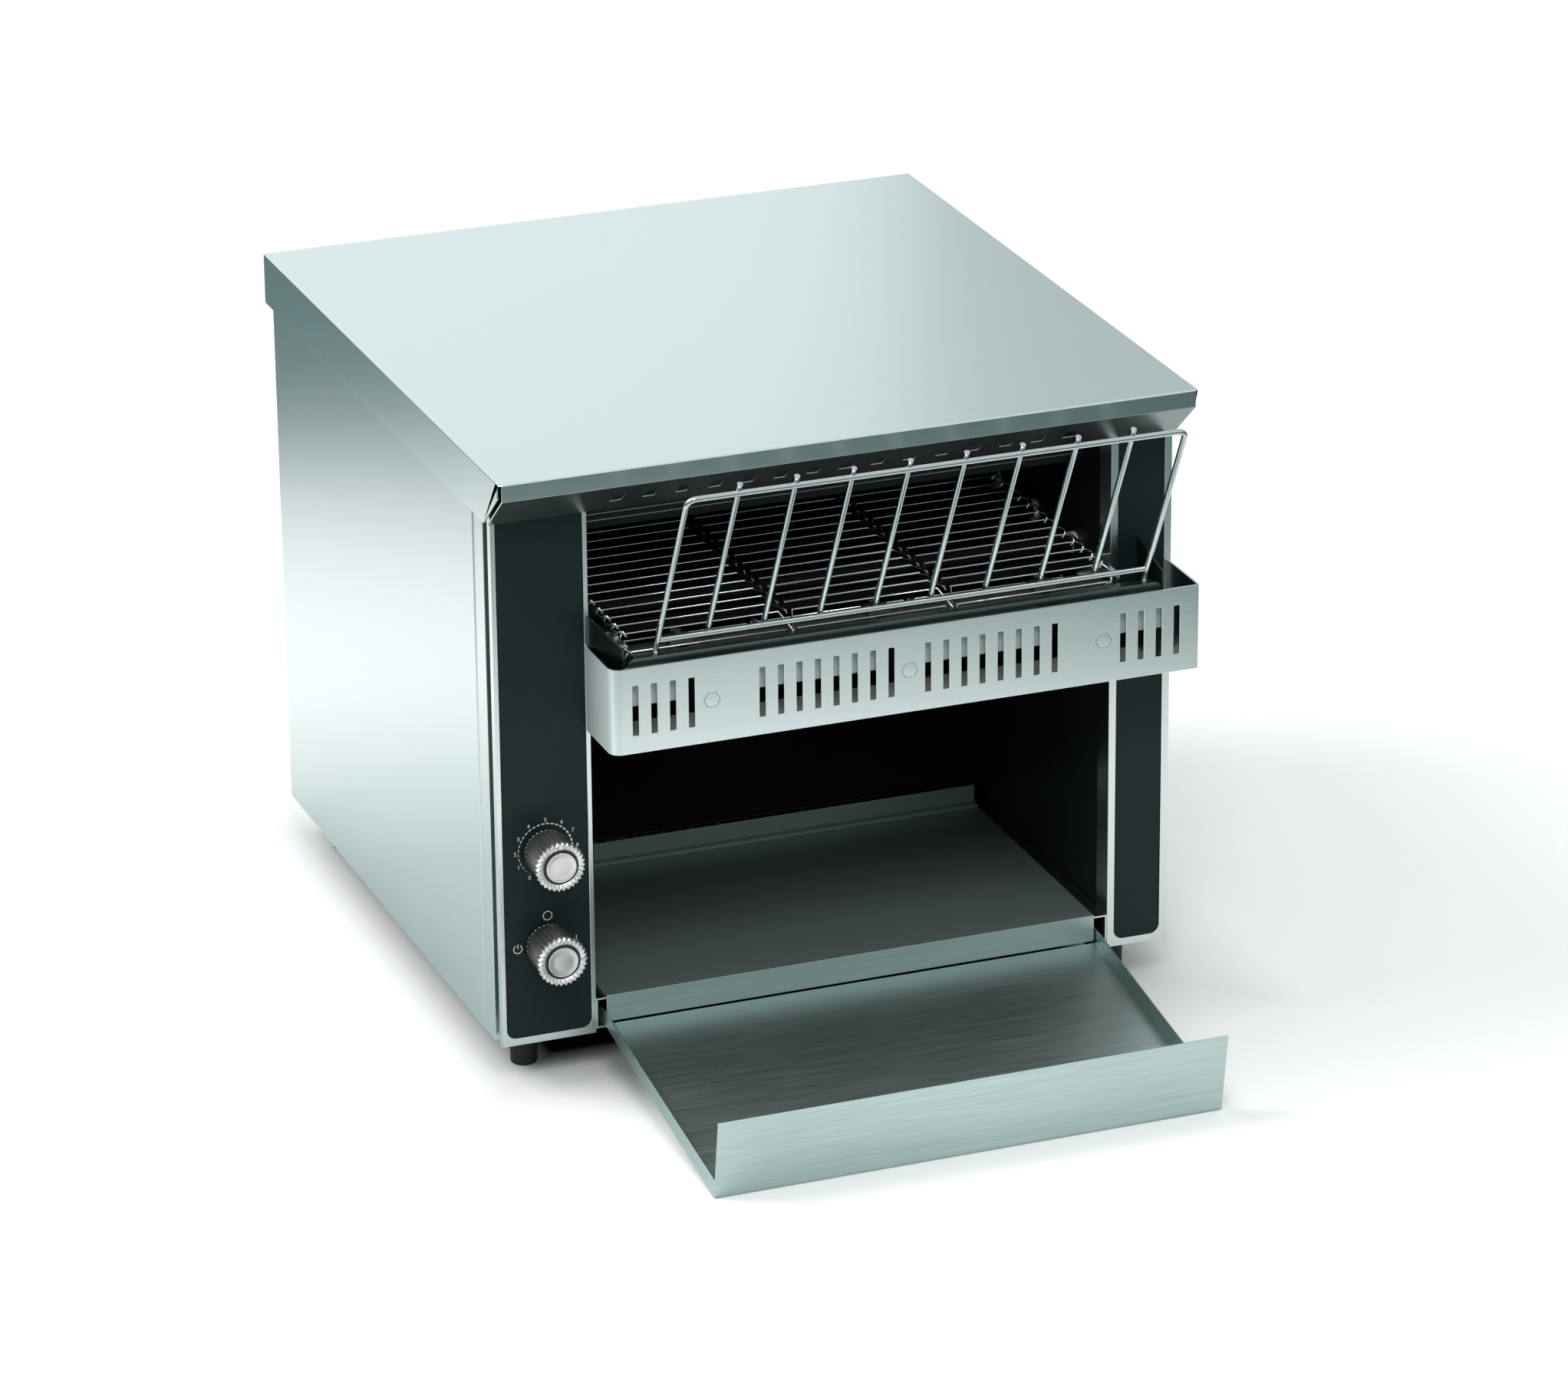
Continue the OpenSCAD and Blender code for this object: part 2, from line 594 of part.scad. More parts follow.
// Upright rail behind the slots: round top corners, windows in front of the sprockets,
// tabs on the studs, and a narrow ledge that holds the rack's pins
module trough_rail() color("#6f7c7b") {
  x0 = trough_l1 + 2;
  x1 = trough_r - trough_t - 1;
  difference() {
    along(rail_front, rail_back) {
      translate([x0, rail_low]) square([x1 - x0, rail_top - rail_corner - rail_low]);
      translate([x0 + rail_corner, rail_low]) square([x1 - x0 - 2 * rail_corner, rail_top - rail_low]);
      for (x = [x0 + rail_corner, x1 - rail_corner])
        translate([x, rail_top - rail_corner]) circle(rail_corner);
      for (x = [-1, 0, 1])
        translate([guard_cx + x * stud_x - tab_w / 2, slot_mid - tab_w / 2]) square(tab_w);
    }
    for (x = sprocket_x)
      block(x - window_w / 2, x + window_w / 2, rail_front - cut, rail_back + cut,
        rail_low - cut, rail_top - rail_corner - 2);
    for (x = [-1, 0, 1])
      bar_y(guard_cx + x * stud_x, rail_front - cut, rail_back + cut, slot_mid, 1.8 + fit_gap);
  }
  difference() {
    block(x0 + rail_corner, x1 - rail_corner, rail_back - 0.1, rail_back + ledge_d,
      rail_top - trough_t, rail_top);
    for (side = [-1, 1])
      bar_z(rack_cx + side * rack_half, pin_y, rail_top - 2, rail_top + cut, rack_r + slide_gap);
  }
}

// One end wall of the trough: a sheet whose top edge falls towards the front
module trough_end(x0, x1, t) difference() {
  translate([0, 0, guard_low + guard_t])
    linear_extrude(rail_top + end_rear_rise - guard_low - guard_t)
      polygon([[x0, 0], [x1, rail_front + 2], [x1 + t, rail_front + 2], [x0 + t, 0]]);
  across(-half_w, half_w)
    polygon([[rail_front - cut, rail_top + end_rise], [rail_front + 2, rail_top + end_rise],
      [cut, rail_top + end_rear_rise], [cut, top_z], [rail_front - cut, top_z]]);
}

module trough_ends() color("#3b4446") {
  trough_end(trough_l0, trough_l1, trough_t);
  trough_end(trough_r, trough_r, -trough_t);
}

// Places a child in the rack's plane: X across, Z up the lean, Y behind the frame
module rack_plane() translate([rack_cx, rack_y, rack_z]) rotate([rack_lean, 0, 0]) children();

// A U of wire with round corners, open at the bottom; a ball closes each joint
// between a side wire and its bend
module wire_u(low, high) {
  for (side = [-1, 1]) {
    bar_z(side * rack_half, 0, low, high - rack_corner, rack_r);
    translate([side * (rack_half - rack_corner), 0, high - rack_corner])
      rotate([90, side > 0 ? 0 : -90, 0]) rotate_extrude(angle = 90) translate([rack_corner, 0]) circle(rack_r);
    translate([side * rack_half, 0, high - rack_corner]) sphere(rack_r + 0.05);
  }
  bar_x(-rack_half + rack_corner, rack_half - rack_corner, 0, high, rack_r);
}

// Chromed wire rack that the bread leans on, standing on the rail with two pins
module bread_rack() color("whitesmoke") {
  rod_back = rack_wire - rack_bite;
  rack_plane() {
    wire_u(-rack_bend, rack_len);
    bar_x(-rack_half, rack_half, 0, 0, rack_r);
    for (i = [0:rack_rods - 1]) {
      x = (i - (rack_rods - 1) / 2) * rod_pitch;
      bar_z(x, rod_back, -0.8, rack_len + rod_tip, rack_r);
    }
  }
  for (side = [-1, 1]) {
    bar_z(rack_cx + side * rack_half, pin_y, rail_top - pin_len, bend_z, rack_r - 0.05);
    translate([rack_cx + side * rack_half, pin_y, bend_z]) sphere(rack_r + 0.05);
  }
}

// ---------------------------------------------------------------- belt and drive

// Centres of the belt's wires round the whole loop
function belt_wires() = concat(
  [for (i = [0:run_wires]) [idler_y + i * belt_pitch, belt_z]],
  [for (i = [1:wrap_wires / 2 - 1]) let(a = 90 - i * 360 / wrap_wires)
    [drive_y + sprocket_r * cos(a), shaft_z + sprocket_r * sin(a)]],
  [for (i = [run_wires:-1:0]) [idler_y + i * belt_pitch, shaft_z - sprocket_r]],
  [for (i = [1:wrap_wires / 2 - 1]) let(a = -90 - i * 360 / wrap_wires)
    [idler_y + sprocket_r * cos(a), shaft_z + sprocket_r * sin(a)]]);

// Closed loop of straight cross wires; links at the edge of each lane reach from
// every wire to the next one
module conveyor_belt() color("silver") {
  wires = belt_wires();
  for (i = [0:len(wires) - 1]) {
    p = wires[i];
    step = wires[(i + 1) % len(wires)] - p;
    bar_x(belt_l, belt_r, p[0], p[1], belt_wire / 2);
    for (lane = [0:belt_lanes])
      translate([min(max(belt_l + lane * lane_w, belt_l + 1), belt_r - 1), p[0], p[1]])
        rotate([atan2(step[1], step[0]), 0, 0])
          block(-0.8, 0.8, 0, norm(step) - belt_wire / 2 - link_gap, -0.45, 0.45);
  }
}

// Toothed disc that carries the belt's wires
module belt_sprocket(x, y) difference() {
  union() {
    bar_x(x - 2, x + 2, y, shaft_z, tooth_tip - 1.9);
    bar_x(x - 6, x + 6, y, shaft_z, shaft_d / 2 + 3);
    for (i = [0:teeth - 1])
      translate([0, y, shaft_z]) rotate([i * 360 / teeth, 0, 0])
        across(x - 1.9, x + 1.9) polygon([[-tooth_w, tooth_tip - 3], [tooth_w, tooth_tip - 3],
          [0.6, tooth_tip], [-0.6, tooth_tip]]);
  }
  bar_x(x - 7, x + 7, y, shaft_z, shaft_d / 2 + 0.02);
}

module sprocket_row(y) for (x = sprocket_x) belt_sprocket(x, y);

module drive_sprockets() color("darkgray") sprocket_row(drive_y);

module idler_sprockets() color("darkgray") sprocket_row(idler_y);

// Rear shaft, driven by the chain in the control compartment
module drive_shaft() color("gray")
  bar_x(chain_x - chain_w - 2, wall_r + sheet + 5, drive_y, shaft_z, shaft_d / 2);

// Front shaft between the two brackets
module idler_shaft() color("gray")
  bar_x(idler_in_l - bracket_t - 0.1, idler_in_r + bracket_t + 0.5, idler_y, shaft_z, shaft_d / 2);

// Flanged bushes of the drive shaft, one in each chamber wall
module drive_bushes() color("peru")
  for (side = [-1, 1]) {
    x = side < 0 ? wall_l - sheet : wall_r;
    difference() {
      union() {
        bar_x(x - 2, x + sheet + 2, drive_y, shaft_z, shaft_d / 2 + 2);
        bar_x(side < 0 ? x + sheet : x - 1.5, side < 0 ? x + sheet + 1.5 : x, drive_y, shaft_z, shaft_d / 2 + 4.5);
      }
      bar_x(x - 5, x + 6, drive_y, shaft_z, shaft_d / 2 + run_gap);
    }
  }

// Brackets that carry the front shaft ahead of the opening, folded over at the top
module idler_brackets() color("gainsboro") difference() {
  union() {
    block(idler_in_l - bracket_t, idler_in_l, idler_y - 9, 30, shaft_z - bracket_up, shaft_z + bracket_up);
    block(idler_in_l - 1, belt_l - 0.8, idler_y - 9, idler_y + 12, shaft_z + bracket_up - 1.5, shaft_z + bracket_up);
    block(opening_l, idler_in_l - 1, 4, frame_return, shaft_z - bracket_up, shaft_z + bracket_up);
    block(idler_in_r, idler_in_r + bracket_t, idler_y - 9, 30, shaft_z - bracket_up, shaft_z + bracket_up);
    block(belt_r + 0.8, idler_in_r + 1, idler_y - 9, idler_y + 12, shaft_z + bracket_up - 1.5, shaft_z + bracket_up);
    block(idler_in_r + 1, opening_r, 4, frame_return, shaft_z - bracket_up, shaft_z + bracket_up);
  }
  bar_x(idler_in_l - 10, idler_in_r + 10, idler_y, shaft_z, shaft_d / 2 + run_gap);
}

// Straight tubular elements from one compartment to the other
module element_row(z) for (i = [0:elements - 1])
  bar_x(wall_l - 12, wall_r + 12, element_first + i * element_pitch, z, element_d / 2);

module upper_elements() color("dimgray") element_row(element_z_up);

module lower_elements() color("dimgray") element_row(element_z_low);

// Ceramic sleeves where the elements pass through the walls
module element_insulators() color("ivory")
  for (i = [0:elements - 1], z = [element_z_up, element_z_low], x = [wall_l - sheet, wall_r])
    difference() {
      bar_x(x - 2.5, x + sheet + 2.5, element_first + i * element_pitch, z, element_d / 2 + 1.5);
      bar_x(x - 4, x + sheet + 4, element_first + i * element_pitch, z, element_d / 2 + 0.02);
    }

// Plate that holds the gear motor on the chamber wall
module motor_bracket() color("silver")
  block(wall_l - sheet - 1.4, wall_l - sheet, can_y - can_r, motor_y + 22, motor_z - can_r, motor_z + can_r);

// Gear motor: flat gearbox on the bracket, round motor beside its output
module gear_motor() color("slategray") {
  back = wall_l - sheet - 1.4;
  difference() {
    block(back - gearbox_d, back, can_y - can_r + 2, motor_y + 18, motor_z - can_r + 2, motor_z + can_r - 2);
    bar_x(back - gearbox_d - cut, back - 2, motor_y, motor_z, 4 + run_gap);
  }
  bar_x(back - gearbox_d - 28, back - gearbox_d, can_y, motor_z, can_r - 2);
}

// Small chain sprocket and the gearbox's output shaft, one turned piece
module motor_sprocket() color("darkgray") {
  back = wall_l - sheet - 1.4;
  bar_x(chain_x - chain_w / 2 - 3, back - 3, motor_y, motor_z, 4);
  bar_x(chain_x - chain_w / 2, chain_x + chain_w / 2, motor_y, motor_z, motor_sprocket_r - chain_t / 2 - slide_gap);
}

// Large chain sprocket on the end of the drive shaft
module shaft_sprocket() color("darkgray") difference() {
  union() {
    bar_x(chain_x - chain_w / 2, chain_x + chain_w / 2, drive_y, shaft_z,
      shaft_sprocket_r - chain_t / 2 - slide_gap);
    bar_x(chain_x - 2, chain_x + 7, drive_y, shaft_z, shaft_d / 2 + 4);
  }
  bar_x(chain_x - 5, chain_x + 9, drive_y, shaft_z, shaft_d / 2 + 0.02);
}

// Roller chain round both sprockets, as one flat band
module drive_chain() color("dimgray")
  across(chain_x - chain_w / 2, chain_x + chain_w / 2) difference() {
    chain_outline(chain_t / 2);
    chain_outline(-chain_t / 2);
  }

// Outline of a band round the two sprockets, grown by g
module chain_outline(g) {
  a = [motor_y, motor_z];
  b = [drive_y, shaft_z];
  ra = motor_sprocket_r + g;
  rb = shaft_sprocket_r + g;
  along_ab = unit(b - a);
  tilt = asin((ra - rb) / norm(b - a));
  up = left_of(a, b) * cos(tilt) + along_ab * sin(tilt);
  down = -left_of(a, b) * cos(tilt) + along_ab * sin(tilt);
  translate(a) circle(ra);
  translate(b) circle(rb);
  polygon([a + ra * down, b + rb * down, b + rb * up, a + ra * up]);
}

// ---------------------------------------------------------------- controls

// Potentiometer: body behind the front column, threaded bush and nut through it
module speed_control() color("#444444") control_body(base_z + speed_z, 12, 14);

module selector_switch() color("#333333") control_body(base_z + selector_z, 14, 26);

module control_body(z, r, d) difference() {
  union() {
    bar_y(knob_x, frame_t, frame_t + d, z, r);
    bar_y(knob_x, -2.4, frame_t, z, bush_r);
    translate([knob_x, panel_back, z]) rotate([90, 0, 0]) cylinder(h = 2, r = 6.4, $fn = 6);
  }
  bar_y(knob_x, -4, frame_t + 10, z, spindle_r + run_gap);
}

module spindle(z) bar_y(knob_x, -knob_len + 3, frame_t + 9, z, spindle_r);

module speed_spindle() color("silver") spindle(base_z + speed_z);

module selector_spindle() color("silver") spindle(base_z + selector_z);

// Fluted knob with a domed cap, a ring groove and a pointer notch at angle a from the top
module knob(z, a) translate([knob_x, -0.8, z]) rotate([90, 0, 0]) difference() {
  union() {
    linear_extrude(knob_len - 2) polygon([for (i = [0:4 * knob_flutes - 1])
      let(t = i * 90 / knob_flutes, r = knob_d / 2 - 0.35 + 0.35 * cos(t * knob_flutes)) [r * cos(t), r * sin(t)]]);
    translate([0, 0, knob_len - 4.2]) cylinder(h = 2.2, d = knob_d + 0.4);
    translate([0, 0, knob_len - 2]) rotate_extrude()
      polygon([[0, 0], [knob_d / 2 - 0.6, 0], [knob_d / 2 - 2, 1.6], [9.2, 1.6], [8.4, 0.4], [7.6, 1.6], [0, 2.2]]);
  }
  translate([0, 0, -1]) cylinder(h = 4, r = 7.4);
  translate([0, 0, -1]) cylinder(h = knob_len - 1.6, r = spindle_r + 0.02);
  rotate([0, 0, a]) translate([-0.8, knob_d / 2 - 2.2, knob_len - 1.6]) cube([1.6, 3, 2]);
}

module speed_knob() color("silver") knob(base_z + speed_z, 0);

module selector_knob() color("silver") knob(base_z + selector_z, -90);

// Motor speed board on four spacers
module control_board() color("seagreen") {
  y0 = 60;
  z0 = shaft_z - 70;
  block(board_x - 1.6, board_x, y0, y0 + 80, z0, z0 + 66);
  for (y = [6, 74], z = [6, 60]) bar_x(board_x, wall_l - sheet, y0 + y, z0 + z, 3);
  block(board_x - 14, board_x - 1.6, y0 + 12, y0 + 34, z0 + 14, z0 + 40);
  bar_x(board_x - 18, board_x - 1.6, y0 + 54, z0 + 26, 8);
}

module heater_relay() color("black") {
  block(-half_w + 8, -half_w + 36, 60, 100, floor_z, floor_z + 30);
  for (y = [66, 78, 90]) block(-half_w + 14, -half_w + 30, y, y + 5, floor_z + 30, floor_z + 34);
}

module terminal_block() color("ivory") {
  y0 = terminal_y;
  block(-half_w + 12, -half_w + 30, y0, y0 + 42, floor_z, floor_z + 16);
  for (i = [0:2]) bar_z(-half_w + 21, y0 + 8 + 13 * i, floor_z + 16, floor_z + 18, 3);
}

module safety_thermostat() color("silver") {
  bar_x(wall_l - sheet - 9, wall_l - sheet, 22, reflector_z - 14, 8);
  block(wall_l - sheet - 1.6, wall_l - sheet, 10, 34, reflector_z - 17, reflector_z - 11);
}

// Bundle of wires along the floor of the control compartment, with two risers
module wiring_loom() color("firebrick") {
  x = -half_w + 21;
  z = floor_z + 3.4;
  y_front = 36;
  y_rear = terminal_y - 0.3;
  bar_y(x, 100.3, y_rear, z, 3);
  bar_y(x + 18, y_front, 104, z, 3);
  bar_x(x - 1, x + 19, 104, z, 3);
  for (p = [[x, 104, z], [x + 18, 104, z], [x + 18, y_front, z]]) translate(p) sphere(3.3);
  bar_z(x + 18, y_front, z, base_z + speed_z + 12, 3);
}

// ---------------------------------------------------------------- rear and underside

// Square fan frame with three arms that hold the rotor's pin
module fan_frame() color("#222222") difference() {
  union() {
    difference() {
      block(fan_x - fan_size / 2, fan_x + fan_size / 2, inner_rear - fan_d, inner_rear,
        fan_z - fan_size / 2, fan_z + fan_size / 2);
      bar_y(fan_x, inner_rear - fan_d - cut, inner_rear + cut, fan_z, fan_size * 0.47);
    }
    for (a = [90, 210, 330])
      translate([fan_x, inner_rear - 3, fan_z]) rotate([0, a, 0])
        block(8, fan_size * 0.485, 0, 2.6, -2.5, 2.5);
    bar_y(fan_x, inner_rear - 3.2, inner_rear - 0.2, fan_z, 12);
    bar_y(fan_x, inner_rear - fan_d + 5, inner_rear - 3, fan_z, fan_pin_r);
  }
  for (x = [-1, 1], z = [-1, 1])
    bar_y(fan_x + x * fan_size * 0.44, inner_rear - fan_d - cut, inner_rear + cut, fan_z + z * fan_size * 0.44, 2);
}

// Hub with seven flat blades, turning on the frame's pin
module fan_rotor() color("#333333") difference() {
  union() {
    bar_y(fan_x, inner_rear - fan_d + 3, inner_rear - 4, fan_z, 12);
    for (i = [0:6])
      translate([fan_x, inner_rear - fan_d / 2, fan_z]) rotate([0, i * 360 / 7, 0])
        translate([10, 0, 0]) rotate([38, 0, 0]) block(0, fan_size * 0.45 - 10, -0.8, 0.8, -9, 9);
  }
  bar_y(fan_x, inner_rear - fan_d + 4, inner_rear, fan_z, fan_pin_r + run_gap);
}

// Cord gland with a nut on each side of the rear panel; no cord is fitted
module cord_gland() color("#1c1c1c") difference() {
  union() {
    bar_y(gland_x, inner_rear - 8, body_d + 5, gland_z, gland_r);
    for (y = [inner_rear - 5.2, body_d])
      translate([gland_x, y + 5, gland_z]) rotate([90, 0, 0]) cylinder(h = 4.8, r = 11.5, $fn = 6);
    bar_y(gland_x, body_d + 4, body_d + 7, gland_z, gland_r + 1);
  }
  bar_y(gland_x, inner_rear - 9, body_d + 8, gland_z, gland_bore_d / 2);
}

// Rubber foot, narrower towards the counter, with a deep hole for its screw head
module rubber_feet() color("#1a1a1a")
  for (x = [-1, 1], y = foot_rows())
    translate([x * (half_w - foot_inset_x), y, 0]) rotate_extrude()
      polygon([[2.1, 6], [4.6, 6], [4.6, 0], [foot_top_d / 2 - 2, 0], [foot_top_d / 2 - 1.6, 0.6],
        [foot_top_d / 2 - 1.4, foot_h * 0.6], [foot_top_d / 2, foot_h * 0.75],
        [foot_top_d / 2, foot_h + sheet], [2.1, foot_h + sheet]]);

// Screws that hold the feet, with their nuts on the base pan
module foot_screws() color("silver")
  for (x = [-1, 1], y = foot_rows())
    translate([x * (half_w - foot_inset_x), y, 0]) {
      bar_z(0, 0, 5.9, floor_z + 5, 2);
      bar_z(0, 0, 3.6, 6, 3.8);
      translate([0, 0, floor_z]) cylinder(h = 3.2, r = 4, $fn = 6);
    }

// A pan-head screw along +Y, its head on the outside
module rear_screw(x, z, y, l) {
  bar_y(x, y - l, y + 0.1, z, 1.6);
  difference() {
    bar_y(x, y, y + 2.2, z, 3.4);
    block(x - 2.4, x + 2.4, y + 1.2, y + 3, z - 0.4, z + 0.4);
  }
}

module cover_screws() color("silver")
  for (x = [-120, 0, 120]) rear_screw(x, top_z - flange_h - 7, body_d + sheet, cover_screw_l);

module rear_screws() color("silver") {
  for (x = [-120, 0, 120]) rear_screw(x, floor_z + screw_up, body_d, 7);
  for (x = [-1, 1], z = [-1, 1])
    rear_screw(fan_x + x * fan_size * 0.44, fan_z + z * fan_size * 0.44, body_d, 12);
}

// ---------------------------------------------------------------- drawing

placed() top_cover();
placed() side_panel_left();
placed() side_panel_right();
placed() rear_panel();
placed() base_pan();
placed() front_frame_left();
placed() front_frame_right();
placed() control_panel();
placed() side_trim_panel();
placed() header_bar();
placed() chamber_wall_left();
placed() chamber_wall_right();
placed() upper_reflector();
placed() top_insulation();
placed() element_guard();
placed() cavity_ceiling();
placed() lower_reflector();
placed() rear_deflector();
placed() toast_slide();
placed() tray_runners();
placed() discharge_tray();
placed() catch_tray();
placed() belt_guard();
placed() guard_studs();
placed() trough_rail();
placed() trough_ends();
placed() bread_rack();
placed() conveyor_belt();
placed() drive_shaft();
placed() drive_sprockets();
placed() idler_shaft();
placed() idler_sprockets();
placed() drive_bushes();
placed() idler_brackets();
placed() upper_elements();
placed() lower_elements();
placed() element_insulators();
placed() gear_motor();
placed() motor_bracket();
placed() motor_sprocket();
placed() shaft_sprocket();
placed() drive_chain();
placed() speed_control();
placed() speed_spindle();
placed() speed_knob();
placed() selector_switch();
placed() selector_spindle();
placed() selector_knob();
placed() control_board();
placed() heater_relay();
placed() terminal_block();
placed() safety_thermostat();
placed() wiring_loom();
placed() fan_frame();
placed() fan_rotor();
placed() cord_gland();
placed() rubber_feet();
placed() foot_screws();
placed() cover_screws();
placed() rear_screws();
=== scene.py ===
# A counter-top conveyor toaster of stainless sheet, with a wire belt, a bread
# rack, two knobs and two trays. Sections follow the machine as it is put together.
import math

import bpy
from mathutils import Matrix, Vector


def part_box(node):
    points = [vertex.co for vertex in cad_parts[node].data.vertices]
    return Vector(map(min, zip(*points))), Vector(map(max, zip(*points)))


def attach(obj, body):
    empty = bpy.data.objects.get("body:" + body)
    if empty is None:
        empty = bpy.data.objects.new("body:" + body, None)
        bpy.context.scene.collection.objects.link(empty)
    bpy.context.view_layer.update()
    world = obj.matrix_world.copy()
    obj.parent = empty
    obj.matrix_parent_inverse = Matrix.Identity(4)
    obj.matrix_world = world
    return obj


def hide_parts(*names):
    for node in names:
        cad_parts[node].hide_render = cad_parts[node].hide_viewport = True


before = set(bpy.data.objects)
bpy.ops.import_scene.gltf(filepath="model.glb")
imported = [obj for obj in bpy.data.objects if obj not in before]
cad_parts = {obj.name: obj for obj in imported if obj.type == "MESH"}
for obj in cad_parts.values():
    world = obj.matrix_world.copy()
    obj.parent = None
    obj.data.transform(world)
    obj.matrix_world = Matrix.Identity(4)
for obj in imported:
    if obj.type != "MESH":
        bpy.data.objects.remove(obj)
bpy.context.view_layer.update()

# ---------------------------------------------------------------- camera
# A long lens, looking down on the front from its left corner.
scene = bpy.context.scene
bpy.ops.object.select_all(action="DESELECT")
bpy.ops.object.camera_add(
    location=(-1.15692, -3.06299, 1.46420),
    rotation=[math.radians(a) for a in (68.1185, 0.4661, -21.0167)],
)
camera = bpy.context.object
camera.data.lens = 157.5
camera.data.sensor_width = 36
scene.camera = camera
scene.view_settings.view_transform = "Standard"


# ---------------------------------------------------------------- floor and light
# White paper beneath the machine on a duller floor, and a soft sky. The broad lamp
# on the left gives the shadow, and the panel behind is what the cover reflects.
# Round the machine's foot the paper carries a painted contact shadow.
class Finish:
    """A material or sky in the making, and one socket of it that takes part in sums."""

    def __init__(self, name="", tree=None, socket=None):
        if tree is None:
            self.material = bpy.data.materials.new(name)
            self.material.use_nodes = True
            tree = self.material.node_tree
            tree.nodes.clear()
        self.tree, self.socket = tree, socket

    def node(self, kind, sockets=None, out=0, stops=None, **settings):
        made = self.tree.nodes.new(kind)
        for key, value in settings.items():
            setattr(made, key, value)
        if stops:
            marks = made.color_ramp.elements
            while len(marks) < len(stops):
                marks.new(0.5)
            for mark, (place, colour) in zip(marks, stops):
                mark.position, mark.color = place, colour
        for key, value in (sockets or {}).items():
            if isinstance(value, Finish):
                self.tree.links.new(value.socket, made.inputs[key])
            else:
                made.inputs[key].default_value = value
        return Finish(tree=self.tree, socket=made.outputs[out] if made.outputs else None)

    def maths(self, operation, other=0.0):
        return self.node("ShaderNodeMath", {0: self, 1: other}, operation=operation)

    def __add__(self, other):
        return self.maths("ADD", other)

    __radd__ = __add__

    def __sub__(self, other):
        return self.maths("SUBTRACT", other)

    def __rsub__(self, other):
        return self * -1 + other

    def __mul__(self, other):
        return self.maths("MULTIPLY", other)

    __rmul__ = __mul__

    def __gt__(self, other):
        return self.maths("GREATER_THAN", other)

    def noise(self, place, scale, detail, **more):
        return self.node("ShaderNodeTexNoise", {"Vector": place, "Scale": scale, "Detail": detail, **more})

    def mixed(self, part, low, high):
        return self.node("ShaderNodeMix", {0: part, 6: low, 7: high}, out=2, data_type="RGBA")

    def bumped(self, strength, distance, height):
        return self.node("ShaderNodeBump", {"Strength": strength, "Distance": distance, "Height": height})

    def shaded(self, **inputs):
        """Ends the material in one shader; an input is given by its name with _ for each space."""
        inputs = {key.replace("_", " "): value for key, value in inputs.items()}
        shader = self.node("ShaderNodeBsdfPrincipled", inputs)
        self.node("ShaderNodeOutputMaterial", {"Surface": shader})
        return self.material


def grey(level):
    return (level, level, level, 1.0)


def tint(colour, factor=1.0):
    """A colour made darker or lighter, as a socket takes it."""
    return [min(1.0, c * factor) for c in colour] + [1.0]


bpy.ops.mesh.primitive_plane_add(size=16, location=(0, 0, 0))
floor = bpy.context.object
floor.name = "floor"
paper = Finish("floor_paper")
place = paper.node("ShaderNodeTexCoord", out="Object")


def distance_from(x, y):
    moved = paper.node("ShaderNodeVectorMath", {0: place, 1: (-x, -y, 0.0)}, operation="ADD")
    return paper.node("ShaderNodeVectorMath", {0: moved}, out="Value", operation="LENGTH")


away = distance_from(-0.05, 0.09) * 0.5
far = paper.node(
    "ShaderNodeValToRGB",
    {"Fac": away},
    stops=[
        (0.0, grey(0.0)), (0.27, grey(0.0)), (0.34, grey(0.16)),
        (0.41, grey(0.66)), (0.46, grey(0.94)), (0.55, grey(1.0)),
    ],
)
outer = paper.node("ShaderNodeValToRGB", {"Fac": away}, stops=[(0.0, grey(0.0)), (0.33, grey(0.0)), (0.50, grey(1.0))])
# Across and along the machine from the middle of its footprint
casing_middle = 0.078
beside = paper.node("ShaderNodeSeparateXYZ", {0: place}, out="X").maths("ABSOLUTE")
before = (paper.node("ShaderNodeSeparateXYZ", {0: place}, out="Y") - casing_middle).maths("ABSOLUTE")
# Painted contact shadow: the paper turns almost black round and beneath the machine's footprint, and the camera's glow
# is left out there.
painted_contact_shadow = paper.node(
    "ShaderNodeValToRGB",
    {"Fac": beside.maths("MAXIMUM", before)},
    stops=[(0.0, grey(1.0)), (0.145, grey(1.0)), (0.165, grey(0.30)), (0.190, grey(0.18)), (0.240, grey(0.0))],
)
# Painted shade beside the machine's left side: a darker teal patch of floor that only reflections see, for the left
# side panel to show.
painted_side_shade = paper.node(
    "ShaderNodeValToRGB",
    {"Fac": distance_from(-0.24, 0.04)},
    stops=[(0.0, grey(0.66)), (0.15, grey(0.58)), (0.40, grey(0.0))],
)
seen = paper.node("ShaderNodeLightPath", out="Is Camera Ray")
far = far * (1 - seen) + outer * seen
ground = paper.mixed(far, grey(0.93), (0.09, 0.145, 0.14, 1.0))
ground = paper.mixed(painted_side_shade * (1 - seen), ground, (0.16, 0.24, 0.235, 1.0))
lit = paper.node("ShaderNodeBsdfDiffuse", {"Color": paper.mixed(painted_contact_shadow, ground, grey(0.01))})
missing = paper.node("ShaderNodeInvert", {"Fac": 1.0, "Color": ground})
glow = paper.node("ShaderNodeEmission", {"Color": missing, "Strength": seen * (1 - painted_contact_shadow) * 1.05})
paper.node("ShaderNodeOutputMaterial", {"Surface": paper.node("ShaderNodeAddShader", {0: lit, 1: glow})})
floor.data.materials.append(paper.material)

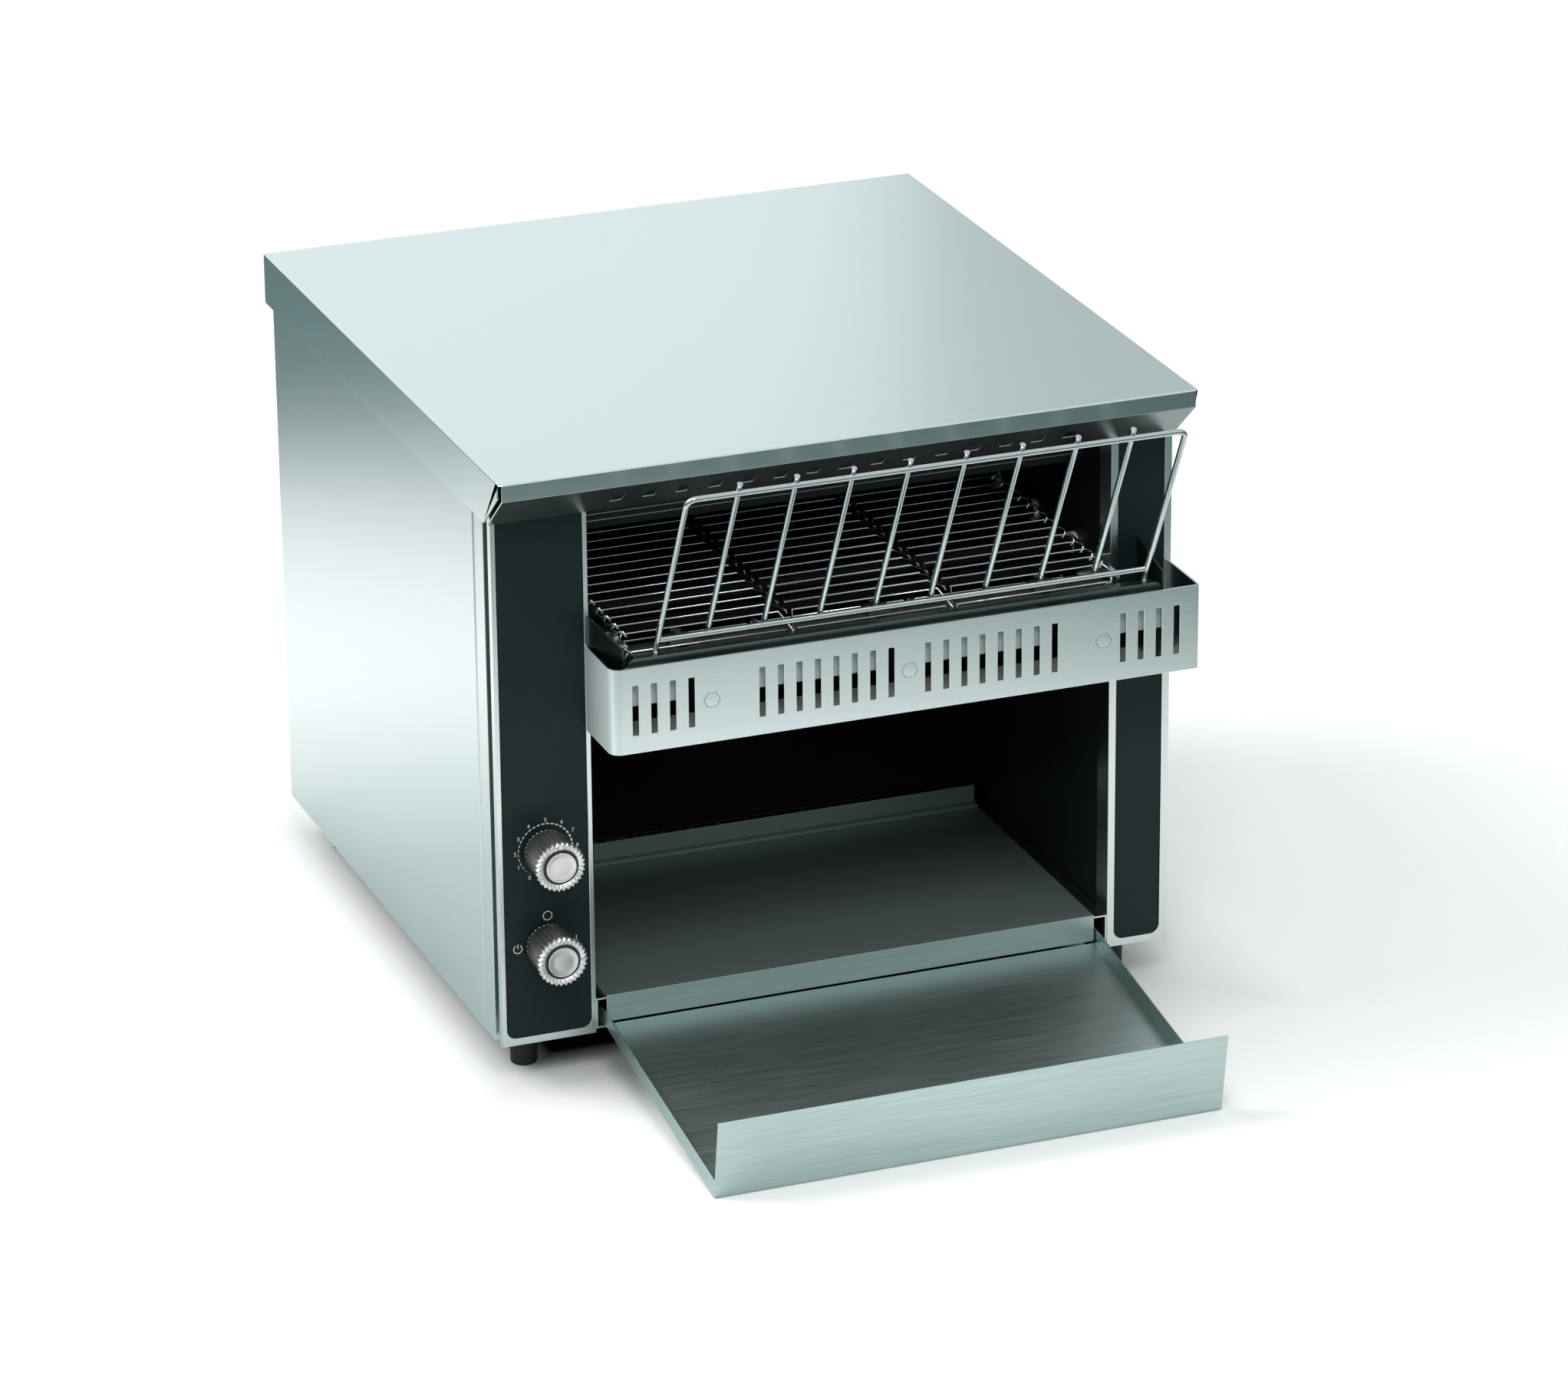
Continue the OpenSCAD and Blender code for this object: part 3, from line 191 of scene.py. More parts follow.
scene.world = bpy.data.worlds.new("studio_sky")
scene.world.use_nodes = True
scene.world.node_tree.nodes.clear()
sky = Finish(tree=scene.world.node_tree)
height = sky.node("ShaderNodeSeparateXYZ", {0: sky.node("ShaderNodeTexCoord", out="Generated")}, out="Z")
shade = sky.node(
    "ShaderNodeValToRGB",
    {"Fac": height},
    stops=[
        (0.0, (0.34, 0.42, 0.42, 1.0)), (0.22, (0.36, 0.44, 0.44, 1.0)),
        (0.5, (0.68, 0.72, 0.72, 1.0)), (1.0, grey(0.80)),
    ],
)
sky.node("ShaderNodeOutputWorld", {"Surface": sky.node("ShaderNodeBackground", {"Color": shade, "Strength": 1.0})})

for name, place, aim, size, power in (
    ("lamp_left", (-1.9, 0.8, 2.3), (-0.2, 0.2, 0.0), (1.5, 1.5), 50.0),
    ("lamp_front", (-0.45, -1.7, 2.2), (0, -0.1, 0.15), (0.9, 0.9), 20.0),
    ("lamp_back", (-0.15, 1.7, 0.78), (0, 0, 0.7), (1.9, 1.05), 2.7),
):
    bpy.ops.object.light_add(type="AREA", location=place)
    lamp = bpy.context.object
    lamp.name = name
    lamp.data.shape = "RECTANGLE"
    lamp.data.size, lamp.data.size_y = size
    lamp.data.energy = power
    lamp.rotation_euler = (Vector(aim) - Vector(place)).to_track_quat("-Z", "Y").to_euler()


# ---------------------------------------------------------------- casing
# Cover, side skins, rear sheet and floor pan: one-millimetre stainless sheet,
# laser cut and folded, with a fine brushed grain and slightly rounded folds.
def brushed(name, colour, along, rough=0.27, depth=0.03, spread=0.03, tone=0.012, metal=1.0):
    """Brushed sheet: streaks that run along one axis, and faint clouds where it was handled."""
    steel = Finish(name)
    place = steel.node("ShaderNodeTexCoord", out="Object")
    scale = [1500.0, 1500.0, 1500.0]
    scale["XYZ".index(along)] = 22.0
    streaks = steel.noise(steel.node("ShaderNodeMapping", {"Vector": place, "Scale": scale}), 1.0, 3.0)
    clouds = steel.noise(place, 9.0, 3.0)
    grain = streaks * 0.8 + clouds * 0.2
    return steel.shaded(
        Base_Color=steel.mixed(grain, tint(colour, 1 - 2 * tone), tint(colour, 1 + 2 * tone)),
        Metallic=metal,
        Roughness=streaks * (2 * spread) + (rough - spread),
        Normal=steel.bumped(depth, 0.0002, streaks),
    )


def pick(piece):
    """Selects one object and nothing else."""
    bpy.ops.object.select_all(action="DESELECT")
    piece.select_set(True)
    bpy.context.view_layer.objects.active = piece


def merged_copy(node, name):
    """A copy of a CAD shape on an object of its own, its loose triangles joined into whole faces."""
    pick(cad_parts[node])
    bpy.ops.object.duplicate()
    piece = bpy.context.object
    piece.name = piece.data.name = name
    piece.parent = None
    for key in [k for k in piece.keys() if k.startswith("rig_")]:
        del piece[key]
    bpy.ops.object.mode_set(mode="EDIT")
    bpy.ops.mesh.select_all(action="SELECT")
    bpy.ops.mesh.remove_doubles(threshold=0.000002)
    bpy.ops.mesh.dissolve_limited(angle_limit=math.radians(0.8))
    bpy.ops.object.mode_set(mode="OBJECT")
    return piece


def rounded_edges(piece, width, segments=2, angle=32):
    """Rounds the sharp edges of a piece and shades it smoothly between them."""
    pick(piece)
    bevel = piece.modifiers.new("edges", "BEVEL")
    bevel.width = width
    bevel.segments = segments
    bevel.limit_method = "ANGLE"
    bevel.angle_limit = math.radians(angle)
    bevel.use_clamp_overlap = False
    bpy.ops.object.modifier_apply(modifier=bevel.name)
    bpy.ops.object.shade_smooth_by_angle(angle=math.radians(angle))
    even = piece.modifiers.new("even_shading", "WEIGHTED_NORMAL")
    even.keep_sharp = True
    bpy.ops.object.modifier_apply(modifier=even.name)


def fit(piece, material, body, slot, *nodes):
    """Gives a finished piece its material, the body it rides on and the nodes it stands for."""
    piece.data.materials.clear()
    piece.data.materials.append(material)
    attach(piece, body)
    if nodes:
        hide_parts(*nodes)
    return piece


def folded_sheet(node, material, slot, body="housing", edge=0.00025, segments=2, folds=None, fold=0.0012):
    """A sheet piece: wide bends at its folds, where given, and slightly rounded edges all over."""
    piece = merged_copy(node, node + "_sheet")
    if folds:
        bpy.ops.object.mode_set(mode="EDIT")
        bpy.ops.mesh.select_all(action="DESELECT")
        bpy.ops.object.mode_set(mode="OBJECT")
        for line in piece.data.edges:
            line.select = folds(*(piece.data.vertices[v].co for v in line.vertices))
        bpy.ops.object.mode_set(mode="EDIT")
        bpy.ops.mesh.select_mode(type="EDGE")
        bpy.ops.mesh.bevel(offset=fold, segments=4, clamp_overlap=False)
        bpy.ops.mesh.select_mode(type="VERT")
        bpy.ops.object.mode_set(mode="OBJECT")
    rounded_edges(piece, edge, segments)
    return fit(piece, material, body, slot, node)


def second_finish(piece, material, chosen):
    """Gives some faces of a piece another finish: chosen tells which, from middle and normal."""
    piece.data.materials.append(material)
    for face in piece.data.polygons:
        if chosen(face.center, face.normal):
            face.material_index = len(piece.data.materials) - 1


def dressed(node, material):
    """Gives a CAD node that keeps its own shape its finish."""
    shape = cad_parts[node]
    if not shape.material_slots:
        shape.data.materials.append(material)
    for held in shape.material_slots:
        held.material = material


shell_steel = (0.76, 0.84, 0.835)
cover_finish = brushed("cover_steel", shell_steel, "X", rough=0.26)
# The side skins take a darker copy of the cover's steel: painted shade on the sides.
shaded_side_finish = brushed("side_painted_shade_steel", (0.72, 0.795, 0.79), "Z", rough=0.28, depth=0.012, spread=0.012, tone=0.008)
rear_finish = brushed("rear_steel", shell_steel, "X", rough=0.30)
pan_finish = brushed("pan_steel", (0.55, 0.60, 0.60), "X", rough=0.42, tone=0.05)
cover_low, cover_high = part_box("top_cover")
sheet, hair = 0.001, 1e-5  # a sheet's thickness, and a distance too small to see


def cover_sides(point):
    """Whether a point lies on the left, right, front and rear side of the cover."""
    return (
        point.x < cover_low.x + hair, point.x > cover_high.x - hair,
        point.y < cover_low.y + sheet + 0.0002, point.y > cover_high.y - hair,
    )


def on_cover_rim(start, end):
    """Edges round the flat top of the cover, where it is folded down."""
    on_top = min(start.z, end.z) > cover_high.z - hair
    return on_top and any(a and b for a, b in zip(cover_sides(start), cover_sides(end)))


cover = folded_sheet("top_cover", cover_finish, "stainless_shell", edge=0.0003, folds=on_cover_rim, fold=0.0009)
# The visor's upright front band takes a darker copy of the cover's steel: painted shade.
shaded_visor_finish = brushed("visor_painted_shade_steel", (0.60, 0.67, 0.665), "X", rough=0.24)
second_finish(cover, shaded_visor_finish, lambda at, n: n.y < -0.9 and at.y < cover_low.y + sheet)
# The slanted strip beneath the visor is darker still: painted shade on faces that look down.
shaded_slant_finish = brushed("visor_slant_painted_shade_steel", (0.30, 0.35, 0.35), "X", rough=0.3)
visor_depth = 0.03
second_finish(cover, shaded_slant_finish, lambda at, n: n.y < -0.3 and n.z < -0.2 and at.y < cover_low.y + visor_depth)
folded_sheet("side_panel_left", shaded_side_finish, "stainless_shell", edge=0.0003)
folded_sheet("side_panel_right", shaded_side_finish, "stainless_shell", edge=0.0003)
folded_sheet("base_pan", pan_finish, "base_steel")
dressed("rear_panel", rear_finish)


# ---------------------------------------------------------------- front columns
# Two bright frames with black enamelled plates let into them, and the folded
# bar that joins them behind the visor.
def enamel(name, colour, rough=0.34, fleck=0.05):
    """Smooth black coating over sheet steel, with a faint orange-peel skin."""
    coat = Finish(name)
    place = coat.node("ShaderNodeTexCoord", out="Object")
    skin = coat.noise(place, 900.0, 2.0)
    wear = coat.noise(place, 14.0, 4.0)
    return coat.shaded(
        Base_Color=coat.mixed(wear, tint(colour, 0.85), tint(colour, 1.2)),
        Roughness=wear * 0.12 + (rough - 0.06),
        Specular_IOR_Level=0.18,
        Normal=coat.bumped(fleck, 0.0001, skin),
    )


frame_finish = brushed("frame_steel", (0.74, 0.81, 0.805), "Z", rough=0.24)
black_enamel = enamel("black_enamel", (0.010, 0.019, 0.021))
folded_sheet("front_frame_left", frame_finish, "stainless_shell")
folded_sheet("front_frame_right", frame_finish, "stainless_shell")
folded_sheet("header_bar", rear_finish, "stainless_shell")
folded_sheet("control_panel", black_enamel, "black_panel", edge=0.0002)
folded_sheet("side_trim_panel", black_enamel, "black_panel", edge=0.0002)


# ---------------------------------------------------------------- dial marks
# White print on the control plate: a dashed arc that grows thicker, plain
# numbers around it, and the O, I and standby signs of the lower knob.
def printed(name, colour):
    """Screen-printed ink, a little thin in places."""
    ink = Finish(name)
    thin = ink.noise(ink.node("ShaderNodeTexCoord", out="Object"), 1400.0, 2.0)
    return ink.shaded(Base_Color=ink.mixed(thin, tint(colour, 0.88), tint(colour)), Roughness=0.5)


white_ink = printed("white_ink", (0.86, 0.90, 0.90))
ink_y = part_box("control_panel")[0].y - 0.00004
knob_x, speed_z, selector_z = -0.15615, 0.1255, 0.0745


def ink_strip(name, start, end, radius, half_width, centre, steps):
    """A curved stroke of ink on the plate, from one angle to another, clockwise from the top."""
    bpy.ops.object.select_all(action="DESELECT")
    bpy.ops.mesh.primitive_grid_add(x_subdivisions=steps, y_subdivisions=1, size=2)
    stroke = bpy.context.object
    stroke.name = stroke.data.name = name
    for vertex in stroke.data.vertices:
        angle = math.radians(start + (end - start) * (vertex.co.x + 1) / 2)
        reach = radius + half_width if vertex.co.y > 0 else radius - half_width
        vertex.co = (centre[0] + reach * math.sin(angle), ink_y, centre[1] + reach * math.cos(angle))
    return stroke


def join(pieces, name):
    """One object from several."""
    bpy.ops.object.select_all(action="DESELECT")
    for piece in pieces:
        piece.select_set(True)
    bpy.context.view_layer.objects.active = pieces[0]
    bpy.ops.object.join()
    pieces[0].name = pieces[0].data.name = name
    return pieces[0]


strokes = []
arc_first, arc_last, arc_radius, dashes = -146.0, 92.0, 0.0142, 24
dash_share = 0.62  # of the way from one dash to the next
for i in range(dashes):
    a = arc_first + (arc_last - arc_first) * i / dashes
    b = a + (arc_last - arc_first) / dashes * dash_share
    half_width = 0.00005 + 0.0004 * (i / dashes) ** 0.8
    strokes.append(ink_strip("dash", a, b, arc_radius, half_width, (knob_x, speed_z), 4))
stroke_half = 0.0002
strokes.append(ink_strip("off_ring", 0, 360, 0.0023, 0.00022, (-0.1558, 0.0900), 40))
strokes.append(ink_strip("standby_arc", 32, 328, 0.0022, stroke_half, (-0.1718, 0.0742), 32))
# The upright of the standby sign and the on sign
for x, low, high in ((-0.1718, 0.0745, 0.0768), (-0.1409, 0.0733, 0.0771)):
    bpy.ops.mesh.primitive_grid_add(x_subdivisions=1, y_subdivisions=2, size=2)
    bar = bpy.context.object
    for vertex in bar.data.vertices:
        vertex.co = (x + vertex.co.x * stroke_half, ink_y, (low + high) / 2 + vertex.co.y * (high - low) / 2)
    strokes.append(bar)
number_places = (
    (-0.1647, 0.1118), (-0.1704, 0.1183), (-0.1721, 0.1255), (-0.1702, 0.1334), (-0.1647, 0.1395),
    (-0.1558, 0.1417), (-0.1473, 0.1394), (-0.1416, 0.1341), (-0.1394, 0.1256),
)
for number, (x, z) in enumerate(number_places):
    bpy.ops.object.select_all(action="DESELECT")
    bpy.ops.object.text_add(location=(x, ink_y, z), rotation=(math.pi / 2, 0, 0))
    digit = bpy.context.object
    digit.data.body = str(number)
    digit.data.size = 0.0030
    digit.data.align_x, digit.data.align_y = "CENTER", "CENTER"
    bpy.ops.object.convert(target="MESH")
    bpy.ops.object.transform_apply(location=True, rotation=True, scale=True)
    strokes.append(bpy.context.object)
marks = join(strokes, "dial_print")
bpy.ops.object.mode_set(mode="EDIT")
bpy.ops.mesh.select_all(action="SELECT")
bpy.ops.mesh.remove_doubles(threshold=0.000002)
bpy.ops.mesh.normals_make_consistent(inside=False)
bpy.ops.object.mode_set(mode="OBJECT")
fit(marks, white_ink, "housing", "black_panel")


# ---------------------------------------------------------------- oven chamber
# Walls, roof, shelves and chutes of plain sheet, darkened by heat and crumbs,
# with a bright aluminised reflector behind the elements; the lower reflector is
# painted almost black, painted shade beneath the belt's upper run.
def sooted(name, colour, rough=0.5, metal=0.6, shine=0.5):
    """Sheet that heat has darkened: cloudy tint, dull spots and a few burnt specks."""
    burnt = Finish(name)
    place = burnt.node("ShaderNodeTexCoord", out="Object")
    clouds = burnt.noise(place, 11.0, 5.0)
    specks = burnt.noise(place, 420.0, 1.0) > 0.72
    base = burnt.mixed(clouds, tint(colour, 0.7), tint(colour, 1.25))
    return burnt.shaded(
        Base_Color=burnt.mixed(specks * 0.5, base, (0.01, 0.008, 0.006, 1.0)),
        Metallic=metal,
        Roughness=clouds * 0.2 + (rough - 0.1),
        Specular_IOR_Level=shine,
        Normal=burnt.bumped(0.08, 0.0002, clouds),
    )


dark_sheet = sooted("heat_darkened_steel", (0.024, 0.030, 0.031), shine=0.2)
cavity_sheet = sooted("cavity_steel", (0.030, 0.028, 0.026), rough=0.42)
# Sooty black for the elements, also used as painted shade on the lower reflector.
soot_and_shade = sooted("burnt_soot_and_painted_shade", (0.012, 0.013, 0.013), rough=0.8, metal=0.0, shine=0.0)
bright_sheet_and_light = sooted("aluminised_sheet_and_painted_light", (0.55, 0.54, 0.51), rough=0.35, metal=1.0)
for node in ("chamber_wall_left", "chamber_wall_right", "rear_deflector"):
    folded_sheet(node, dark_sheet, "dark_steel")
for node in ("cavity_ceiling", "toast_slide"):
    folded_sheet(node, cavity_sheet, "dark_steel")
folded_sheet("element_guard", dark_sheet, "dark_steel")
folded_sheet("upper_reflector", bright_sheet_and_light, "reflector")

# Two rows of small bright discs along the upright sheet: painted light where light shows through its fine punched
# holes.
strip_low, strip_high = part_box("element_guard")
bpy.ops.object.select_all(action="DESELECT")
bpy.ops.mesh.primitive_circle_add(vertices=6, radius=0.00034, fill_type="TRIFAN")
lit_hole_discs = bpy.context.object
lit_hole_discs.name = lit_hole_discs.data.name = "painted_light_holes"
bpy.ops.object.mode_set(mode="EDIT")
bpy.ops.mesh.select_all(action="SELECT")
bpy.ops.transform.rotate(value=math.pi / 2, orient_axis="X", center_override=(0, 0, 0))
bpy.ops.transform.translate(value=(strip_low.x + 0.0012, strip_low.y - 0.00003, 0.2855))
bpy.ops.object.mode_set(mode="OBJECT")
hole_pitch, row_drop = 0.0011, 0.0034
holes_in_row = int((strip_high.x - strip_low.x - 0.002) / hole_pitch)
for count, offset in ((2, (hole_pitch / 2, 0, -row_drop)), (holes_in_row, (hole_pitch, 0, 0))):
    row = lit_hole_discs.modifiers.new("row", "ARRAY")
    row.use_relative_offset, row.use_constant_offset = False, True
    row.count, row.constant_offset_displace = count, offset
    bpy.ops.object.modifier_apply(modifier=row.name)
fit(lit_hole_discs, bright_sheet_and_light, "housing", "reflector")
# The lower reflector is painted almost black: painted shade beneath the belt's upper run.
folded_sheet("lower_reflector", soot_and_shade, "reflector")


def fibrous(name, colour):
    """Felted mineral fibre: fine tangled strands with a soft, uneven face."""
    wool = Finish(name)
    strands = wool.noise(wool.node("ShaderNodeTexCoord", out="Object"), 700.0, 6.0, Distortion=2.5)
    return wool.shaded(
        Base_Color=wool.mixed(strands, tint(colour, 0.7), tint(colour)),
        Roughness=0.95,
        Normal=wool.bumped(0.6, 0.001, strands),
    )


dressed("top_insulation", fibrous("mineral_wool", (0.75, 0.70, 0.55)))

# ---------------------------------------------------------------- trays
# The discharge tray slides in two channels; the catch tray hangs from them and
# rests on the counter. Both are brushed sheet, darker than the casing's and uneven
# in tone; the front face of each is a lighter copy, painted light.
worn = {"depth": 0.1, "spread": 0.05, "tone": 0.08}
tray_finish = brushed("discharge_steel", (0.27, 0.33, 0.325), "X", rough=0.40, metal=0.6, **worn)
lit_lip_finish = brushed("lip_painted_light_steel", (0.42, 0.50, 0.49), "X", rough=0.34, metal=0.7, **worn)
catch_finish = brushed("catch_steel", (0.50, 0.615, 0.60), "X", rough=0.40, depth=0.25, spread=0.08, tone=0.16)
lit_plate_finish = brushed("tray_plate_painted_light_steel", (0.59, 0.72, 0.705), "X", rough=0.40, depth=0.04, spread=0.012, tone=0.015)
folded_sheet("tray_runners", frame_finish, "stainless_tray")
discharge = folded_sheet("discharge_tray", tray_finish, "tray_steel", body="crumb_tray")
lip_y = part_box("discharge_tray")[0].y
# The lip's front faces are a lighter copy of the tray's steel: painted light.
second_finish(discharge, lit_lip_finish, lambda at, n: n.y < -0.7 and at.y < lip_y + sheet / 2)
catch = folded_sheet("catch_tray", catch_finish, "stainless_tray", body="outfeed_tray")
catch_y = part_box("catch_tray")[0].y
# The front plate is a lighter copy of the catch tray's steel: painted light.
second_finish(catch, lit_plate_finish, lambda at, n: n.y < -0.8 and at.y < catch_y + 2 * sheet)

# ---------------------------------------------------------------- belt guard
# Slotted sheet round the front of the belt, held by three clinch studs to the
# rail behind it; two end walls close the gap to the front face.
guard_finish = brushed("guard_steel", (0.76, 0.84, 0.835), "X", rough=0.24)
painted_light_finish = brushed("painted_light_sheet", (0.62, 0.70, 0.69), "Z", rough=0.5, metal=0.15)
painted_light_floor = brushed("guard_floor_painted_light", (0.97, 0.99, 0.99), "X", rough=0.5, metal=0.0, tone=0.0)
painted_shade_rail = brushed("rail_painted_shade", (0.20, 0.24, 0.235), "X", rough=0.30)
painted_shade_walls = brushed("end_wall_painted_shade", (0.09, 0.12, 0.12), "Z", rough=0.32)

guard_low, guard_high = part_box("belt_guard")
guard = folded_sheet("belt_guard", guard_finish, "stainless_shell")
# The guard's left end face takes a lighter, duller copy of its steel: painted light.
second_finish(guard, painted_light_finish, lambda at, n: n.x < -0.7 and at.x < guard_low.x + sheet)
# The guard's floor inside is almost white: painted light seen through the slots.
second_finish(guard, painted_light_floor, lambda at, n: n.z > 0.7 and at.z < guard_low.z + 4 * sheet)
folded_sheet("guard_studs", guard_finish, "stainless_shell", edge=0.0003)
# The rail is painted dark, painted shade, and its front is painted light only where the slots show it
rail = folded_sheet("trough_rail", painted_shade_rail, "stainless_tray", edge=0.0002)
slots_top = guard_high.z - 0.004
pick(rail)
bpy.ops.object.mode_set(mode="EDIT")
bpy.ops.mesh.select_all(action="SELECT")
bpy.ops.mesh.bisect(plane_co=(0, 0, slots_top), plane_no=(0, 0, 1))
bpy.ops.object.mode_set(mode="OBJECT")
second_finish(rail, painted_light_finish, lambda at, n: n.y < -0.7 and at.z < slots_top)
# The end walls are painted almost black: painted shade.
folded_sheet("trough_ends", painted_shade_walls, "stainless_tray", edge=0.0002)


# ---------------------------------------------------------------- bread rack
# Bright chromed wire: a frame with round corners whose ends are the two pins that
# stand in the rail, and eight rods welded behind it and behind its foot rail.
def polished(name, colour, rough=0.08):
    """Plated wire or turned metal: bright, with slight ripple and dulled spots."""
    plate = Finish(name)
    place = plate.node("ShaderNodeTexCoord", out="Object")
    ripple = plate.noise(place, 160.0, 2.0)
    spots = plate.noise(place, 60.0, 5.0)
    return plate.shaded(
        Base_Color=plate.mixed(spots, tint(colour, 0.9), tint(colour)),
        Metallic=1.0,
        Roughness=spots * 0.08 + (rough - 0.04),
        Normal=plate.bumped(0.04, 0.0002, ripple),
    )


def rounded_path(points, radii, steps=6):
    """The points with each inner corner turned into an arc of its radius."""
    path = [Vector(points[0])]
    for i in range(1, len(points) - 1):
        before, corner, after = (Vector(p) for p in points[i - 1 : i + 2])
        radius = radii[i] if isinstance(radii, (list, tuple)) else radii
        back, on = (before - corner).normalized(), (after - corner).normalized()
        half = back.angle(on) / 2
        if radius <= 0 or half > math.radians(89):
            path.append(corner)
            continue
        reach = min(radius / math.tan(half), (before - corner).length * 0.49, (after - corner).length * 0.49)
        radius = reach * math.tan(half)
        middle = corner + (back + on).normalized() * (radius / math.sin(half))
        first, last = corner + back * reach - middle, corner + on * reach - middle
        for s in range(steps + 1):
            path.append(middle + first.slerp(last, s / steps).normalized() * radius)
    path.append(Vector(points[-1]))
    return path


def drawn_wire(name, points, thickness, sides=10, radii=0.0, closed=False):
    """A length of wire bent to the points, as a capped tube."""
    bpy.ops.object.select_all(action="DESELECT")
    bpy.ops.curve.primitive_nurbs_path_add()
    wire = bpy.context.object
    wire.name = wire.data.name = name
    line = wire.data
    line.splines.clear()
    spline = line.splines.new("POLY")
    path = rounded_path(points, radii)
    spline.points.add(len(path) - 1)
    for point, at in zip(spline.points, path):
        point.co = (*at, 1.0)
    spline.use_cyclic_u = closed
    line.bevel_depth = thickness / 2
    line.bevel_resolution = sides // 2 - 2
    line.use_fill_caps = True
    bpy.ops.object.convert(target="MESH")
    bpy.ops.object.shade_smooth_by_angle(angle=math.radians(50))
    return bpy.context.object


chrome = polished("chromed_wire", (0.64, 0.68, 0.69), rough=0.06)
rack_wire = 0.003
rack_x, rack_y, rack_z = 0.02265, -0.131747, 0.2424
rack_half, rack_len, rack_rods = 0.13015, 0.099, 8
rack_lean = math.radians(27.3)
pin_y, bend_z, rail_top, pin_len = -0.12865, 0.2364, 0.2342, 0.0052
bend_radius, corner_radius = 0.004, 0.0045


def on_rack(x, back, up):
    """A point of the rack: across it, behind its front frame, and up its lean."""
    return (
        rack_x + x,
        rack_y + back * math.cos(rack_lean) - up * math.sin(rack_lean),
        rack_z + back * math.sin(rack_lean) + up * math.cos(rack_lean),
    )


left_pin, right_pin = rack_x - rack_half, rack_x + rack_half
wires = [
    drawn_wire(
        "rack_front_frame",
        [
            (left_pin, pin_y, rail_top - pin_len), (left_pin, pin_y, bend_z), on_rack(-rack_half, 0, rack_len),
            on_rack(rack_half, 0, rack_len), (right_pin, pin_y, bend_z), (right_pin, pin_y, rail_top - pin_len),
        ],
        rack_wire, sides=16, radii=[0, bend_radius, corner_radius, corner_radius, bend_radius, 0],
    ),
    drawn_wire("rack_foot_rail", [on_rack(-rack_half, 0, 0), on_rack(rack_half, 0, 0)], rack_wire, sides=16),
]
rod_back, rod_foot, rod_tip = rack_wire + 0.00005, 0.0008, 0.0032
rod_pitch = 2 * rack_half / (rack_rods + 0.87)
for i in range(rack_rods):
    x = (i - (rack_rods - 1) / 2) * rod_pitch
    ends = [on_rack(x, rod_back, -rod_foot), on_rack(x, rod_back, rack_len + rod_tip)]
    wires.append(drawn_wire("rack_rod", ends, rack_wire, sides=16))
rack = join(wires, "bread_rack_wires")
rounded_edges(rack, 0.0003, 2, angle=50)
fit(rack, chrome, "rack", "chrome_wire", "bread_rack")

# ---------------------------------------------------------------- wire belt
# Straight stainless wires, each hooked round the next one at the edges and at
# two joints between, so that the belt bends over the sprockets.
idler_low, idler_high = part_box("idler_shaft")
drive_low, drive_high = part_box("drive_shaft")
belt_low, belt_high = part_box("conveyor_belt")
idler = ((idler_low.y + idler_high.y) / 2, (idler_low.z + idler_high.z) / 2)
drive_y = (drive_low.y + drive_high.y) / 2
belt_pitch, belt_wire = 0.0116, 0.0013
run = round((drive_y - idler[0]) / belt_pitch)


def round_the_end(y, *angles):
    """Wires that lie on the sprockets at one end: each one's place and the way out of the loop."""
    ways = [(math.cos(math.radians(a)), math.sin(math.radians(a))) for a in angles]
    return [((y + belt_pitch * way[0], idler[1] + belt_pitch * way[1]), way) for way in ways]


loop = [((idler[0] + i * belt_pitch, idler[1] + belt_pitch), (0, 1)) for i in range(run + 1)]
loop += round_the_end(drive_y, 30, -30)
loop += [((idler[0] + i * belt_pitch, idler[1] - belt_pitch), (0, -1)) for i in range(run, -1, -1)]
loop += round_the_end(idler[0], 210, 150)


def on_belt(i, x, along, out):
    """A point near wire i: across the belt, along it in pitches, and out from it."""
    (p, n), (q, m) = loop[i % len(loop)], loop[(i - 1) % len(loop)]
    y = p[0] + (q[0] - p[0]) * along + out * (n[0] + (m[0] - n[0]) * along)
    z = p[1] + (q[1] - p[1]) * along + out * (n[1] + (m[1] - n[1]) * along)
    return (x, y, z)


# Wire i hooks round wire i - 1, which lies nearer the front on the upper run.
# A bend is given across the belt from its edge or joint, along it and out of it.
step = belt_wire / belt_pitch
left, right = belt_low.x, belt_high.x
lane = (right - left) / 3
edge_hook = [
    (0.0012, 0.0, 0.0), (0.0034, 0.3, 0.0), (0.0032, 0.72, 0.0), (0.0016, 1 - 0.4 * step, 0.0012),
    (0.0004, 1 + 0.5 * step, 0.0015), (-0.0004, 1 + 1.05 * step, 0.0), (-0.0012, 1 + 0.9 * step, -0.0012),
]
joint_hook = [
    (-0.0034, 0.0, 0.0), (-0.0010, 1 - 0.5 * step, 0.0013), (-0.0002, 1 + step, 0.0008),
    (0.0004, 1 + step, -0.0008), (0.0010, 1 - 0.5 * step, -0.0012), (0.0034, 0.0, 0.0),
]
route = [(left - across, along, out) for across, along, out in reversed(edge_hook)]
for joint in (left + lane, right - lane):
    route += [(joint + across, along, out) for across, along, out in joint_hook]
route += [(right + across, along, out) for across, along, out in edge_hook]
strands = []
for i in range(len(loop)):
    strands.append(drawn_wire("belt_strand", [on_belt(i, *bend) for bend in route], belt_wire, sides=8))
belt = join(strands, "wire_belt")
wire_finish = polished("belt_steel_wire", (0.80, 0.84, 0.84), rough=0.16)
